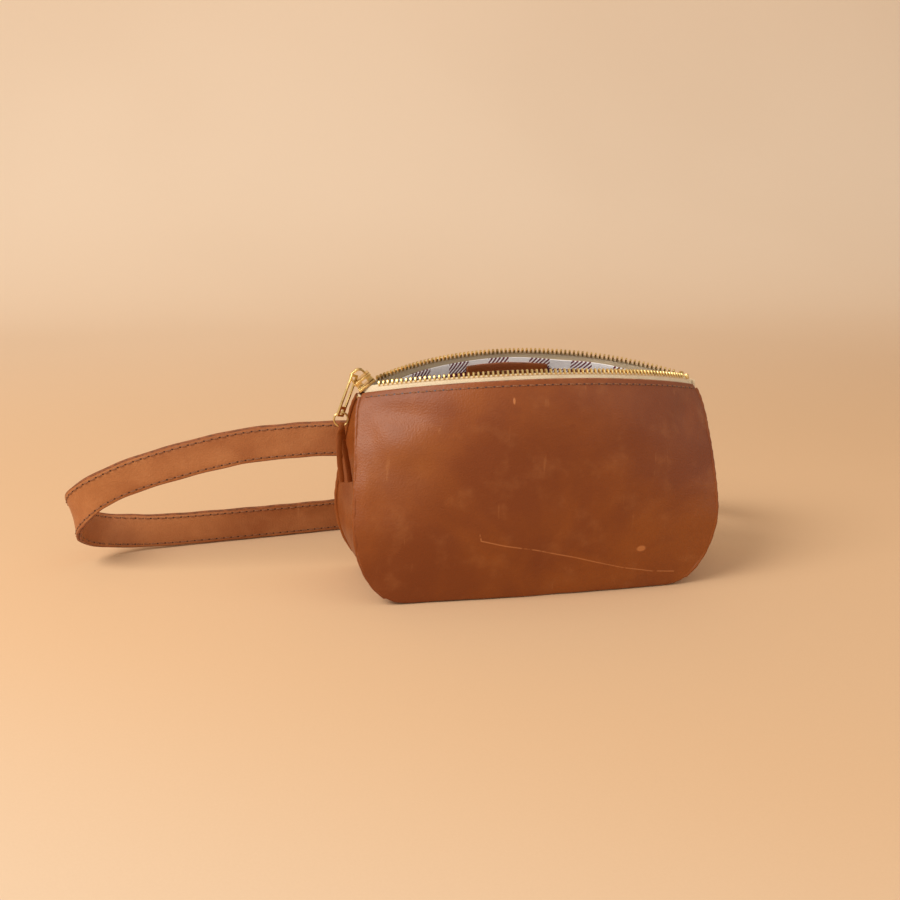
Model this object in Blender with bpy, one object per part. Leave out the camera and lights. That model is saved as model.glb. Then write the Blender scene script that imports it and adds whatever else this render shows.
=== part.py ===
"""Leather waist pack with an arched metal zip, gingham lining and a buckled waist strap.

Frame: metres, +Z up, the bag's front faces -Y, X runs across the bag, and the origin
is the middle of the flat bottom, on the surface that the bag stands on.
"""
import math

import bmesh
import bpy
from mathutils import Matrix, Vector

# ---------------------------------------------------------------- driving dimensions
ZIP_HALF = 0.094          # half the straight distance between the two ends of the zip
ZIP_Z = 0.1155            # height of the zip's two ends
LIP_RISE = 0.033          # how far each zip half bows out from the line between its ends
LIP_TILT = math.radians(70)   # how far each half is laid open from the closed, upright zip
TEETH_WIDTH = 0.0029      # one chain, from the meeting line to the tape
TEETH_THICK = 0.0025
TAPE_WIDTH = 0.0084
TAPE_THICK = 0.0006
EDGE_SETBACK = 0.0062     # leather edge, back from the line where the teeth meet
EDGE_RISE = 0.0023        # leather's outer face, above the middle of the teeth
CHAIN_START = math.radians(-35.2)   # turns along the arc where the teeth begin and end
CHAIN_END = math.radians(36.2)
STOP_HALF = 0.0014        # half thickness of a top stop
ZIP_END_X = 0.0960        # turned-down ends of the tape
ZIP_END_THICK = 0.0012
ZIP_END_FOOT = 0.1066

BASE_HALF = 0.075         # half width of the flat bottom
CORNER_WIDE = 0.0285      # the panels' lower corners are quarter ellipses, this wide
CORNER_TALL = 0.045
BACK_WIDER = 0.0035       # how much further out the back panel's sides stand at the bottom
SHOULDER = 0.0032         # the sides draw in by this much just below the zip's ends
BASE_DEPTH = 0.031        # half depth of the bag at its bottom
TOP_DEPTH = 0.0036        # half depth where the panels end, beside the zip's ends
TOP_Z = 0.1102            # height of the seams' upper ends
LIP_FLARE = 0.0032        # how far the panels stand out just below their top edges
FRONT_BULGE = 0.007
BACK_BULGE = 0.003
LEATHER = 0.0017
LINING = 0.0006
GAP = 0.00035             # clearance between pieces that touch
LINING_DEPTH = 0.0029     # from the leather's outer face to the lining
LINING_SETBACK = 0.0048   # the lining's top edge, back from the line where the teeth meet
LINING_INSET = LEATHER + 4 * GAP   # the lining's seams, in from the leather's
LINING_REACH = 0.9        # share of the opening's length that the lining's top edge spans
LINING_WIDER = 0.3        # share of the back's extra width that the lining follows
POCKET_THICK = 0.0012
GUSSET_DENT = 0.0045      # how far the soft side pieces sink in

STRAP_WIDTH = 0.020
PLY = 0.00135             # one of the strap's two layers
PLY_GAP = 0.00015         # half the gap between them
STRAP_Y = 0.104           # the buckle stretch lies behind the bag on this line
BUCKLE_Z = 0.014
BAR_X = 0.035             # buckle's heel bar
FRONT_BAR_X = 0.014
FRAME_Y = STRAP_Y - 0.001
WIRE_R = 0.0015           # buckle wire
FRAME_SIDE = STRAP_WIDTH / 2 + 0.0006 + WIRE_R   # the frame's sides, from its middle
FRONT_CORNER = 0.0022     # bend radii of the frame's corners
HEEL_CORNER = 0.0015
EYE_INNER = 0.0018        # the prong's eye round the heel bar
EYE_OUTER = 0.0030
EYE_HALF = 0.0013
PRONG_R = 0.00095
LAP_Y = 0.1063            # line of the long strap where it lies over the short one
HOLE_R = 0.0017
HOLE_STEP = 0.025         # spacing of the strap's punched holes
KEEPER_X = 0.062
KEEPER_HALF = 0.004       # half its length along the strap
KEEPER_THICK = 0.0014
KEEPER_GAP = 0.0003

TAB_LENGTH = 0.021
TAB_WIDTH = 0.0055
RING_R = 0.0038           # pull ring, at the middle of its wire
RING_WIRE = 0.0005
TAB_HALF_THICK = 0.0006
TAB_RAIL = 0.0011         # width of the metal on each side of the tab's slot
TAB_LIE = Vector((-0.34, 0, -0.94)).normalized()   # the way the tab hangs
THONG_HALF = 0.0016       # half the lace's width
LACE_IN = 0.0009          # the folded lace's inner and outer faces at the ring
LACE_OUT = 0.0021
THONG_LENGTH = 0.028

ARC_R = (LIP_RISE ** 2 + ZIP_HALF ** 2) / (2 * LIP_RISE)
ARC_END = math.asin(ZIP_HALF / ARC_R)
ARC_CENTRE = Vector((0, 0, ZIP_Z + LIP_RISE - ARC_R))
ZIP_AXIS = Vector((0, 0, ZIP_Z))


# ---------------------------------------------------------------- scene and mesh helpers
def clear_scene():
    for item in list(bpy.data.objects):
        bpy.data.objects.remove(item)


def material(name, colour, roughness, metallic=0.0):
    made = bpy.data.materials.new(name)
    made.use_nodes = True
    shader = made.node_tree.nodes["Principled BSDF"]
    shader.inputs["Base Color"].default_value = (*colour, 1)
    shader.inputs["Roughness"].default_value = roughness
    shader.inputs["Metallic"].default_value = metallic
    return made


def add_object(name, bm, look, pivot=(0, 0, 0), smooth=35):
    """Turn a bmesh in world coordinates into an object whose origin is at pivot."""
    bmesh.ops.recalc_face_normals(bm, faces=bm.faces)
    bmesh.ops.translate(bm, verts=bm.verts, vec=-Vector(pivot))
    mesh = bpy.data.meshes.new(name)
    bm.to_mesh(mesh)
    bm.free()
    mesh.shade_smooth()
    mesh.set_sharp_from_angle(angle=math.radians(smooth))
    mesh.materials.append(LOOKS[look]())
    made = bpy.data.objects.new(name, mesh)
    made.location = pivot
    bpy.context.scene.collection.objects.link(made)
    return made


def cut(target, bm):
    """Take the closed shape in bm, given in world coordinates, away from target."""
    bmesh.ops.recalc_face_normals(bm, faces=bm.faces)
    mesh = bpy.data.meshes.new(target.name + "_cutter")
    bm.to_mesh(mesh)
    bm.free()
    cutter = bpy.data.objects.new(mesh.name, mesh)
    cutter.hide_render = True
    cutter.display_type = "WIRE"
    bpy.context.scene.collection.objects.link(cutter)
    step = target.modifiers.new("cut", "BOOLEAN")
    step.object = cutter
    step.operation = "DIFFERENCE"
    step.solver = "EXACT"


def join(target, bm):
    """Unite the closed shape in bm, given in world coordinates, with target."""
    cut(target, bm)
    target.modifiers[-1].operation = "UNION"


def box_into(bm, low, high, turn=None):
    """Add a box between two corners; turn places it by a matrix."""
    centre = (Vector(low) + Vector(high)) / 2
    size = Vector(high) - Vector(low)
    place = Matrix.Translation(centre) @ Matrix.Diagonal((*size, 1))
    if turn:
        place = turn @ place
    bmesh.ops.create_cube(bm, size=1, matrix=place)
    return bm


def rod_into(bm, centre, axis, radius, length, sides=16):
    """Add a closed cylinder with its middle at centre, along axis."""
    spin = Vector((0, 0, 1)).rotation_difference(Vector(axis)).to_matrix().to_4x4()
    place = Matrix.Translation(Vector(centre)) @ spin
    bmesh.ops.create_cone(bm, cap_ends=True, segments=sides, radius1=radius,
                          radius2=radius, depth=length, matrix=place)
    return bm


def skin_rings(bm, rings, closed=False):
    """Join successive rings of points by quads, with caps unless the sweep closes."""
    rows = [[bm.verts.new(point) for point in ring] for ring in rings]
    pairs = list(zip(rows, rows[1:]))
    if closed:
        pairs.append((rows[-1], rows[0]))
    count = len(rows[0])
    for low, high in pairs:
        for i in range(count):
            j = (i + 1) % count
            bm.faces.new((low[i], low[j], high[j], high[i]))
    if not closed:
        bm.faces.new(rows[0])
        bm.faces.new(rows[-1])
    return bm


def grid_normals(rows):
    """Unit normals of a grid of points, from its central differences."""
    last_i, last_j = len(rows) - 1, len(rows[0]) - 1
    out = []
    for i in range(last_i + 1):
        line = []
        for j in range(last_j + 1):
            along = rows[i][min(j + 1, last_j)] - rows[i][max(j - 1, 0)]
            up = rows[min(i + 1, last_i)][j] - rows[max(i - 1, 0)][j]
            line.append(along.cross(up).normalized())
        out.append(line)
    return out


def shell(rows, outer, inner, inside):
    """Closed sheet between two depths under a grid, measured towards the point inside."""
    normals = grid_normals(rows)
    middle = rows[len(rows) // 2][len(rows[0]) // 2]
    sign = 1 if normals[len(rows) // 2][len(rows[0]) // 2].dot(inside - middle) > 0 else -1
    bm = bmesh.new()

    def layer(depth):
        return [[bm.verts.new(p + n * depth * sign) for p, n in zip(line, norms)]
                for line, norms in zip(rows, normals)]

    top, bottom = layer(outer), layer(inner)
    high, wide = len(rows) - 1, len(rows[0]) - 1
    for i in range(high):
        for j in range(wide):
            for sheet in (top, bottom):
                bm.faces.new((sheet[i][j], sheet[i][j + 1], sheet[i + 1][j + 1], sheet[i + 1][j]))
    edge = [(0, j) for j in range(wide)] + [(i, wide) for i in range(high)]
    edge += [(high, j) for j in range(wide, 0, -1)] + [(i, 0) for i in range(high, 0, -1)]
    for (a, b), (c, d) in zip(edge, edge[1:] + edge[:1]):
        bm.faces.new((top[a][b], top[c][d], bottom[c][d], bottom[a][b]))
    return bm


def smooth_curve(points, step):
    """Points about a step apart on a Catmull-Rom curve through the given ones."""
    knots = [Vector(p) for p in points]
    knots = [knots[0] * 2 - knots[1]] + knots + [knots[-1] * 2 - knots[-2]]
    out = []
    for a, b, c, d in zip(knots, knots[1:], knots[2:], knots[3:]):
        count = max(1, round((c - b).length / step))
        for k in range(count):
            t = k / count
            out.append(0.5 * (2 * b + (c - a) * t + (2 * a - 5 * b + 4 * c - d) * t * t
                              + (3 * b - a - 3 * c + d) * t ** 3))
    out.append(knots[-2])
    return out


def ribbon_frames(centres, lean=None):
    """Width and thickness directions of a strip that stands on its edge."""
    last = len(centres) - 1
    frames = []
    for i, centre in enumerate(centres):
        along = (centres[min(i + 1, last)] - centres[max(i - 1, 0)]).normalized()
        up = Vector((0, 0, 1))
        up = (up - along * up.dot(along)).normalized()
        side = along.cross(up)
        if lean:
            up = (up - side * math.tan(lean(centre))).normalized()
            side = along.cross(up)
        frames.append((up, side))
    return frames


def ribbon(centres, frames, low, high, width=STRAP_WIDTH):
    """Flat strip between two offsets along its thickness direction."""
    rings = []
    for centre, (up, side) in zip(centres, frames):
        half = up * width / 2
        rings.append((centre - half + side * low, centre - half + side * high,
                      centre + half + side * high, centre + half + side * low))
    bm = skin_rings(bmesh.new(), rings)
    bmesh.ops.triangulate(bm, faces=bm.faces)
    return bm


def tube(centres, radius, sides=8, closed=False, flat=None):
    """Round wire along points; flat is its normal when the wire lies in a plane."""
    count = len(centres)
    rings = []
    for i, centre in enumerate(centres):
        before = centres[(i - 1) % count] if closed else centres[max(i - 1, 0)]
        after = centres[(i + 1) % count] if closed else centres[min(i + 1, count - 1)]
        along = (after - before).normalized()
        across = along.cross(flat).normalized()
        rings.append([centre + radius * (math.cos(a) * across + math.sin(a) * flat)
                      for a in (2 * math.pi * k / sides for k in range(sides))])
    return skin_rings(bmesh.new(), rings, closed)


# ---------------------------------------------------------------- finishes
LOOKS = {
    "leather": lambda: material("leather", (0.25, 0.062, 0.014), 0.5),
    "lining": lambda: material("gingham", (0.75, 0.68, 0.70), 0.9),
    "tape": lambda: material("zip_tape", (0.83, 0.72, 0.50), 0.85),
    "brass": lambda: material("brass", (0.75, 0.50, 0.16), 0.3, 1.0),
}


# ---------------------------------------------------------------- the zip's geometry
def closed_point(turn, lateral, radial):
    """Point on the closed zip: turn along its arc, lateral across, radial outwards."""
    reach = ARC_R + radial
    return ARC_CENTRE + Vector((reach * math.sin(turn), lateral, reach * math.cos(turn)))


def lay_open(point, side):
    """Turn a point of the closed zip into place on the open lip; side -1 is the front."""
    spin = Matrix.Rotation(-side * LIP_TILT, 3, "X")
    return ZIP_AXIS + spin @ (point - ZIP_AXIS)


def lip_strip(side, start, end, lateral_in, lateral_out, radial, steps):
    """Strip along a lip; lateral_out may taper, as a function of the turn."""
    rings = []
    for k in range(steps + 1):
        turn = start + (end - start) * k / steps
        reach = lateral_out(turn) if callable(lateral_out) else lateral_out
        corners = ((lateral_in, -radial), (reach, -radial), (reach, radial), (lateral_in, radial))
        rings.append([lay_open(closed_point(turn, side * a, b), side) for a, b in corners])
    return skin_rings(bmesh.new(), rings)


# ---------------------------------------------------------------- the bag's surfaces
def seam_half_depth(z):
    rise = min(max((z - 0.035) / (TOP_Z - 0.035), 0), 1)
    return TOP_DEPTH + (BASE_DEPTH - TOP_DEPTH) * (1 - rise ** 1.6)


def widen(z, share):
    """Extra half width at height z; share is 0 at the front panel and 1 at the back one."""
    return BACK_WIDER * share * (1 - z / TOP_Z)


def seam_outline(inset, side_steps=8, corner_steps=5):
    """Half outline of the front panel, from the bottom's corner up to the zip's end."""
    points = []
    for k in range(corner_steps):
        turn = math.pi / 2 * k / corner_steps
        points.append((BASE_HALF + (CORNER_WIDE - inset) * math.sin(turn),
                       CORNER_TALL - (CORNER_TALL - inset) * math.cos(turn)))
    widest = BASE_HALF + CORNER_WIDE
    taper = widest - ARC_R * math.sin(ARC_END) - 0.0013 - SHOULDER
    for k in range(side_steps + 1):
        rise = k / side_steps
        narrow = taper * rise ** 1.2 + SHOULDER * rise ** 14
        points.append((widest - narrow - inset, CORNER_TALL + (TOP_Z - CORNER_TALL) * rise))
    return points


def panel_rows(side, bulge, lateral=EDGE_SETBACK, inset=0.0, top_reach=1.0, columns=20, wider=1):
    """Outer surface of the front (side -1) or back (side 1) panel, bottom row first."""
    crown = (1 - math.cos(ARC_END))
    top_mid = lay_open(closed_point(0, side * lateral, EDGE_RISE), side)
    top_end = lay_open(closed_point(ARC_END, side * lateral, EDGE_RISE), side)
    rows = []
    for half, z in seam_outline(inset):
        half += widen(z, wider if side > 0 else 0)
        level = z / TOP_Z
        rise = level ** 2.2
        depth = seam_half_depth(z)
        middle = BASE_DEPTH + 0.0015 + (abs(top_mid.y) - BASE_DEPTH - 0.0015) * level
        middle += bulge * math.sin(math.pi * level ** 0.85)
        middle += LIP_FLARE * math.sin(math.pi * level ** 4)
        end_y = depth + (abs(top_end.y) - TOP_DEPTH) * rise
        row = []
        for k in range(columns + 1):
            u = (2 * k / columns - 1) * (1 - (1 - top_reach) * rise)
            arc = (math.cos(u * ARC_END) - math.cos(ARC_END)) / crown
            plump = (1 - rise) * (1 - abs(u) ** 2.6) + rise * arc
            x = half * ((1 - rise) * u + rise * math.sin(u * ARC_END) / math.sin(ARC_END))
            y = side * (end_y + (middle - end_y) * plump)
            lift = (top_mid.z - top_end.z) * arc * rise
            row.append(Vector((x, y, z + (top_end.z - TOP_Z) * rise + lift)))
        rows.append(row)
    return rows


def gusset_rows(margin, inset, top_trim, columns=8):
    """Outer surface of the strip round the bag's sides and bottom, from end to end."""
    outline = [(x, z) for x, z in seam_outline(inset) if z < TOP_Z - top_trim]
    path = [(-x, z) for x, z in reversed(outline)] + outline
    rows = []
    for x, z in path:
        full = seam_half_depth(z)
        sink = GUSSET_DENT * math.sin(math.pi * min(max((z - 0.03) / 0.085, 0), 1))
        row = []
        for k in range(columns + 1):
            v = 2 * k / columns - 1
            y = v * (full - margin)
            dent = sink * (1 - (y / full) ** 2) ** 1.6 - widen(z, (v + 1) / 2)
            row.append(Vector((x - math.copysign(1, x) * dent, y, z)))
        rows.append(row)
    return rows


MIDDLE = Vector((0, 0, 0.06))


def lining_rows(side, bulge):
    """The leather surface that one panel's lining is offset from."""
    return panel_rows(side, bulge, LINING_SETBACK, LINING_INSET, LINING_REACH, 14, LINING_WIDER)


def make_bag():
    front = panel_rows(-1, FRONT_BULGE)
    back = panel_rows(1, BACK_BULGE)
    add_object("front_panel", shell(front, 0, LEATHER, MIDDLE), "leather")
    add_object("back_panel", shell(back, 0, LEATHER, MIDDLE), "leather")
    gusset = gusset_rows(LEATHER + GAP, 0, 0.004)
    add_object("gusset", shell(gusset, 0, LEATHER, MIDDLE), "leather")
    for name, side, bulge in (("lining_front", -1, FRONT_BULGE), ("lining_back", 1, BACK_BULGE)):
        rows = lining_rows(side, bulge)
        sheet = shell(rows, LINING_DEPTH, LINING_DEPTH + LINING, MIDDLE)
        add_object(name, sheet, "lining")
    margin = LINING_DEPTH + LINING + GAP
    rows = gusset_rows(margin, 0, 0.016)
    sheet = shell(rows, LEATHER + 2 * GAP, LEATHER + 2 * GAP + LINING, MIDDLE)
    add_object("lining_gusset", sheet, "lining")


def make_pocket():
    """Leather slip pocket on the back lining, a little left of the middle."""
    rows = lining_rows(1, BACK_BULGE)
    chosen = [row[5:9] for row in rows[7:-1]]
    depth = LINING_DEPTH + LINING + GAP
    add_object("inner_pocket", shell(chosen, depth, depth + POCKET_THICK, MIDDLE), "leather")


def make_zip_halves():
    def tape_edge(turn):
        """The tape narrows towards its ends, where it is turned under."""
        rise = ARC_R * (math.cos(turn) - math.cos(ARC_END))
        return min(TAPE_WIDTH, TEETH_WIDTH + 0.0005 + 1.2 * rise)

    for name, side in (("front", -1), ("back", 1)):
        chain = lip_strip(side, CHAIN_START, CHAIN_END, 0.00015, TEETH_WIDTH, TEETH_THICK / 2, 36)
        add_object("zip_chain_" + name, chain, "brass", ZIP_AXIS)
        tape = lip_strip(side, CHAIN_START, CHAIN_END, TEETH_WIDTH + 0.0003, tape_edge,
                         TAPE_THICK / 2, 36)
        add_object("zip_tape_" + name, tape, "tape", ZIP_AXIS)
        stop = lip_strip(side, CHAIN_END + 0.003, CHAIN_END + 0.02, 0.0002, 0.0030, STOP_HALF, 2)
        add_object("top_stop_" + name, stop, "brass", ZIP_AXIS)


def make_zip_ends():
    """Turned-down tape ends above the gusset, and the brass stop at the left one."""
    for name, side, top in (("left", -1, 0.1088), ("right", 1, 0.1125)):
        middle, half = side * ZIP_END_X, ZIP_END_THICK / 2
        bm = box_into(bmesh.new(), (middle - half, -0.0030, ZIP_END_FOOT),
                      (middle + half, 0.0030, top))
        add_object("zip_end_" + name, bm, "tape")
    bm = box_into(bmesh.new(), (-0.0972, -0.0024, 0.1064), (-0.0967, 0.0024, 0.1079))
    add_object("bottom_stop", bm, "brass")


def slider_place():
    """Frame at the slider: x along the zip, y across the bag, z away from the teeth."""
    turn = -ARC_END
    along = Vector((math.cos(turn), 0, -math.sin(turn)))
    out = Vector((math.sin(turn), 0, math.cos(turn)))
    frame = Matrix((along, Vector((0, 1, 0)), out)).transposed().to_4x4()
    return Matrix.Translation(closed_point(turn, 0, 0)) @ frame


def make_slider():
    place = slider_place()
    half, tail = 0.0057, 0.0047
    plates = []
    for low, high in ((0.0016, 0.0028), (-0.0028, -0.0016)):
        bm = bmesh.new()
        outline = ((-tail, 0.0031), (-0.0010, 0.0034), (half, 0.0046))
        shape = list(outline) + [(x, -y) for x, y in reversed(outline)]
        rings = [[place @ Vector((x, y, z)) for x, y in shape] for z in (low, high)]
        plates.append(skin_rings(bm, rings))
    body = add_object("slider_body", plates[0], "brass", ARC_CENTRE)
    join(body, plates[1])
    join(body, box_into(bmesh.new(), (half - 0.0034, -0.0011, -0.0020),
                        (half - 0.0004, 0.0011, 0.0020), place))
    for side in (-1, 1):
        for low, high in ((0.0007, 0.0020), (-0.0020, -0.0007)):
            lip = box_into(bmesh.new(), (-tail + 0.0004, side * 0.0024 - 0.0005, low),
                           (-0.0006, side * 0.0024 + 0.0005, high), place)
            join(body, lip)
    rise = 0.0031
    profile = [(-0.0044, rise), (-0.0041, rise + 0.0034), (-0.0024, rise + 0.0050),
               (0.0022, rise + 0.0050), (0.0040, rise + 0.0034), (0.0046, rise),
               (0.0035, rise), (0.0030, rise + 0.0028), (0.0016, rise + 0.0038),
               (-0.0018, rise + 0.0038), (-0.0031, rise + 0.0028), (-0.0034, rise)]
    rings = [[place @ Vector((x, y, z)) for x, z in profile] for y in (-0.0012, 0.0012)]
    add_object("slider_bridge", skin_rings(bmesh.new(), rings), "brass", ARC_CENTRE)


def pull_points():
    """Hinge of the tab in the bridge, hinge of the ring in the tab, lowest point of the ring."""
    hinge = slider_place() @ Vector((-0.0014, 0, 0.0058))
    eye = hinge + TAB_LIE * TAB_LENGTH
    return hinge, eye, eye + Vector((0, 0, -2 * RING_R))


def make_pull():
    hinge, eye, ring_low = pull_points()
    face = Vector((TAB_LIE.z, 0, -TAB_LIE.x))
    place = Matrix((TAB_LIE, Vector((0, 1, 0)), face)).transposed().to_4x4()
    place = Matrix.Translation(hinge) @ place
    half = TAB_WIDTH / 2
    bm = box_into(bmesh.new(), (-0.0006, -half, -TAB_HALF_THICK),
                  (TAB_LENGTH + 0.0023, half, TAB_HALF_THICK), place)
    tab = add_object("pull_tab", bm, "brass", hinge)
    slots = box_into(bmesh.new(), (0.0006, -half + TAB_RAIL, -0.003),
                     (TAB_LENGTH - 0.0034, half - TAB_RAIL, 0.003), place)
    box_into(slots, (TAB_LENGTH - 0.0018, -0.0012, -0.003),
             (TAB_LENGTH + 0.0012, 0.0012, 0.003), place)
    cut(tab, slots)

    centre = (eye + ring_low) / 2
    circle = [centre + RING_R * Vector((math.sin(a), 0, math.cos(a)))
              for a in (2 * math.pi * k / 24 for k in range(24))]
    add_object("pull_ring", tube(circle, RING_WIRE, 8, True, Vector((0, 1, 0))), "brass", eye)

    top, bottom = ring_low.z, ring_low.z - THONG_LENGTH
    profile = [(0.0030, bottom), (0.0016, bottom), (0.0011, top - 0.006), (LACE_IN, top - 0.001)]
    arch = [(LACE_IN * math.cos(a), top + LACE_IN * math.sin(a))
            for a in (math.radians(d) for d in (45, 90, 135))]
    inner = profile + arch + [(-y, z) for y, z in reversed(profile)]
    outer = [(-0.0040, bottom), (-0.0024, top - 0.006), (-LACE_OUT, top - 0.001)]
    cap = [(LACE_OUT * math.cos(a), top + LACE_OUT * math.sin(a))
           for a in (math.radians(d) for d in (135, 90, 45))]
    outer += cap + [(LACE_OUT, top - 0.001), (0.0024, top - 0.006), (0.0040, bottom)]
    outline = inner[1:] + outer[:-1] + [(0.0034, bottom)]
    rings = [[Vector((ring_low.x + x, ring_low.y + y, z)) for y, z in outline]
             for x in (-THONG_HALF, THONG_HALF)]
    add_object("pull_thong", skin_rings(bmesh.new(), rings), "leather", ring_low)


# ---------------------------------------------------------------- the waist strap
LONG_ROUTE = (
    (-0.1046, 0.0236, 0.079), (-0.119, 0.0268, 0.0782), (-0.136, 0.0292, 0.0767),
    (-0.157, 0.0312, 0.0743), (-0.188, 0.033, 0.0675), (-0.219, 0.0352, 0.058),
    (-0.240, 0.0392, 0.047), (-0.2490, 0.0475, 0.0355), (-0.2485, 0.0585, 0.0245),
    (-0.239, 0.0690, 0.0167), (-0.222, 0.0765, 0.0125), (-0.200, 0.0800, 0.0107),
    (-0.152, 0.0860, 0.0103), (-0.100, 0.0930, 0.0103), (-0.060, 0.0985, 0.0112),
    (-0.025, 0.1015, 0.0132), (0.0, 0.1008, BUCKLE_Z), (FRONT_BAR_X, 0.0997, BUCKLE_Z),
    (0.025, 0.1040, BUCKLE_Z), (BAR_X, 0.1082, BUCKLE_Z), (0.048, 0.1072, BUCKLE_Z),
    (0.060, LAP_Y, BUCKLE_Z), (0.078, LAP_Y, BUCKLE_Z), (0.095, LAP_Y, BUCKLE_Z))
SHORT_ROUTE = (
    (0.0525, FRAME_Y, BUCKLE_Z), (0.070, FRAME_Y, BUCKLE_Z), (0.088, FRAME_Y, BUCKLE_Z),
    (0.104, 0.1005, 0.0165), (0.119, 0.0920, 0.026), (0.130, 0.0770, 0.040),
    (0.1335, 0.0600, 0.0555), (0.128, 0.0440, 0.068), (0.118, 0.0320, 0.0765),
    (0.1046, 0.0236, 0.079))
STRAP_STEP = 0.0095


def strap_lean(centre):
    """The turn at the far left leans out at its top."""
    return math.radians(14) * math.exp(-((centre.x + 0.247) / 0.03) ** 2)


def hole_cutters():
    """Punched holes of the long strap, with a longer one where the prong goes through."""
    bm = box_into(bmesh.new(), (0.0220, STRAP_Y - 0.008, BUCKLE_Z - HOLE_R),
                  (0.0330, STRAP_Y + 0.008, BUCKLE_Z + HOLE_R))
    for k in (-2, -1, 1, 2):
        rod_into(bm, (0.027 + k * HOLE_STEP, STRAP_Y, BUCKLE_Z), (0, 1, 0), HOLE_R, 0.016, 12)
    return bm


def make_strap():
    centres = smooth_curve(LONG_ROUTE, STRAP_STEP)
    frames = ribbon_frames(centres, strap_lean)
    for name, low in (("strap_long_outer", -PLY - PLY_GAP), ("strap_long_inner", PLY_GAP)):
        piece = add_object(name, ribbon(centres, frames, low, low + PLY), "leather")
        cut(piece, hole_cutters())

    centres = smooth_curve(SHORT_ROUTE, STRAP_STEP)
    frames = ribbon_frames(centres)
    add_object("strap_short_inner", ribbon(centres, frames, PLY_GAP, PLY_GAP + PLY), "leather")
    offset = PLY_GAP + PLY / 2
    bend = WIRE_R + 0.0003 + PLY / 2
    fold = [Vector((0.0500, FRAME_Y - offset, BUCKLE_Z)),
            Vector((0.0460, FRAME_Y - offset - 0.0003, BUCKLE_Z)),
            Vector((0.0400, FRAME_Y - 0.0020, BUCKLE_Z))]
    fold += [Vector((BAR_X - bend * math.sin(a), FRAME_Y - bend * math.cos(a), BUCKLE_Z))
             for a in (math.pi * k / 8 for k in range(9))]
    fold += [Vector((0.0400, FRAME_Y + 0.0020, BUCKLE_Z)),
             Vector((0.0460, FRAME_Y + offset + 0.0003, BUCKLE_Z))]
    turned = len(fold)
    fold += [c - side * offset for c, (up, side) in zip(centres, frames)]
    frames = ribbon_frames(fold)[:turned] + frames
    half = PLY / 2
    outer = add_object("strap_short_outer", ribbon(fold, frames, -half, half), "leather")
    cut(outer, box_into(bmesh.new(), (0.0305, FRAME_Y - 0.006, BUCKLE_Z - HOLE_R),
                        (0.0386, FRAME_Y + 0.006, BUCKLE_Z + HOLE_R)))


def make_buckle():
    path = []
    for cx, cz, start in ((BAR_X, FRAME_SIDE, 0), (FRONT_BAR_X, FRAME_SIDE, 90),
                          (FRONT_BAR_X, -FRAME_SIDE, 180), (BAR_X, -FRAME_SIDE, 270)):
        bend = FRONT_CORNER if cx == FRONT_BAR_X else HEEL_CORNER
        mx = cx - math.copysign(bend, cx - (BAR_X + FRONT_BAR_X) / 2)
        mz = BUCKLE_Z + cz - math.copysign(bend, cz)
        for k in range(5):
            a = math.radians(start + 90 * k / 4)
            path.append(Vector((mx + bend * math.cos(a), FRAME_Y, mz + bend * math.sin(a))))
    add_object("buckle_frame", tube(path, WIRE_R, 10, True, Vector((0, 1, 0))), "brass")

    pivot = Vector((BAR_X, FRAME_Y, BUCKLE_Z))
    section = ((EYE_INNER, -EYE_HALF), (EYE_OUTER, -EYE_HALF),
               (EYE_OUTER, EYE_HALF), (EYE_INNER, EYE_HALF))
    rings = []
    for k in range(20):
        a = 2 * math.pi * k / 20
        rings.append([pivot + Vector((reach * math.cos(a), reach * math.sin(a), z))
                      for reach, z in section])
    bm = skin_rings(bmesh.new(), rings, closed=True)
    prong = add_object("buckle_prong", bm, "brass", pivot)
    tongue = [(0.0326, 0.0008), (0.0300, 0.0015), (0.0270, 0.0021), (0.0230, 0.0026),
              (0.0190, 0.0029), (0.0140, 0.0029), (0.0116, 0.0025)]
    route = [Vector((x, FRAME_Y + y, BUCKLE_Z)) for x, y in tongue]
    join(prong, tube(route, PRONG_R, 8, False, Vector((0, 0, 1))))


def make_keeper():
    low = FRAME_Y - PLY - PLY_GAP - KEEPER_GAP
    high = LAP_Y + PLY + PLY_GAP + KEEPER_GAP
    half = STRAP_WIDTH / 2 + KEEPER_GAP
    more = KEEPER_THICK
    corners = ((low, -half), (high, -half), (high, half), (low, half))
    outside = ((low - more, -half - more), (high + more, -half - more),
               (high + more, half + more), (low - more, half + more))
    rings = []
    for (iy, iz), (oy, oz) in zip(corners, outside):
        section = ((-KEEPER_HALF, iy, iz), (-KEEPER_HALF, oy, oz),
                   (KEEPER_HALF, oy, oz), (KEEPER_HALF, iy, iz))
        rings.append([Vector((KEEPER_X + x, y, BUCKLE_Z + z)) for x, y, z in section])
    add_object("keeper_loop", skin_rings(bmesh.new(), rings, closed=True), "leather",
               (KEEPER_X, FRAME_Y, BUCKLE_Z))


def main():
    clear_scene()
    make_bag()
    make_pocket()
    make_zip_halves()
    make_zip_ends()
    make_slider()
    make_pull()
    make_strap()
    make_buckle()
    make_keeper()


main()
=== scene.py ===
"""Looks of the leather waist pack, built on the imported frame.

Metres, +Z up, the bag's front faces -Y. Each operator makes one piece or one group of like
pieces; main() registers the add-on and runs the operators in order.
"""
import math

import bmesh
import bpy
from bpy.props import FloatProperty, FloatVectorProperty, IntProperty, PointerProperty
from mathutils import Matrix, Vector, noise


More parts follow.
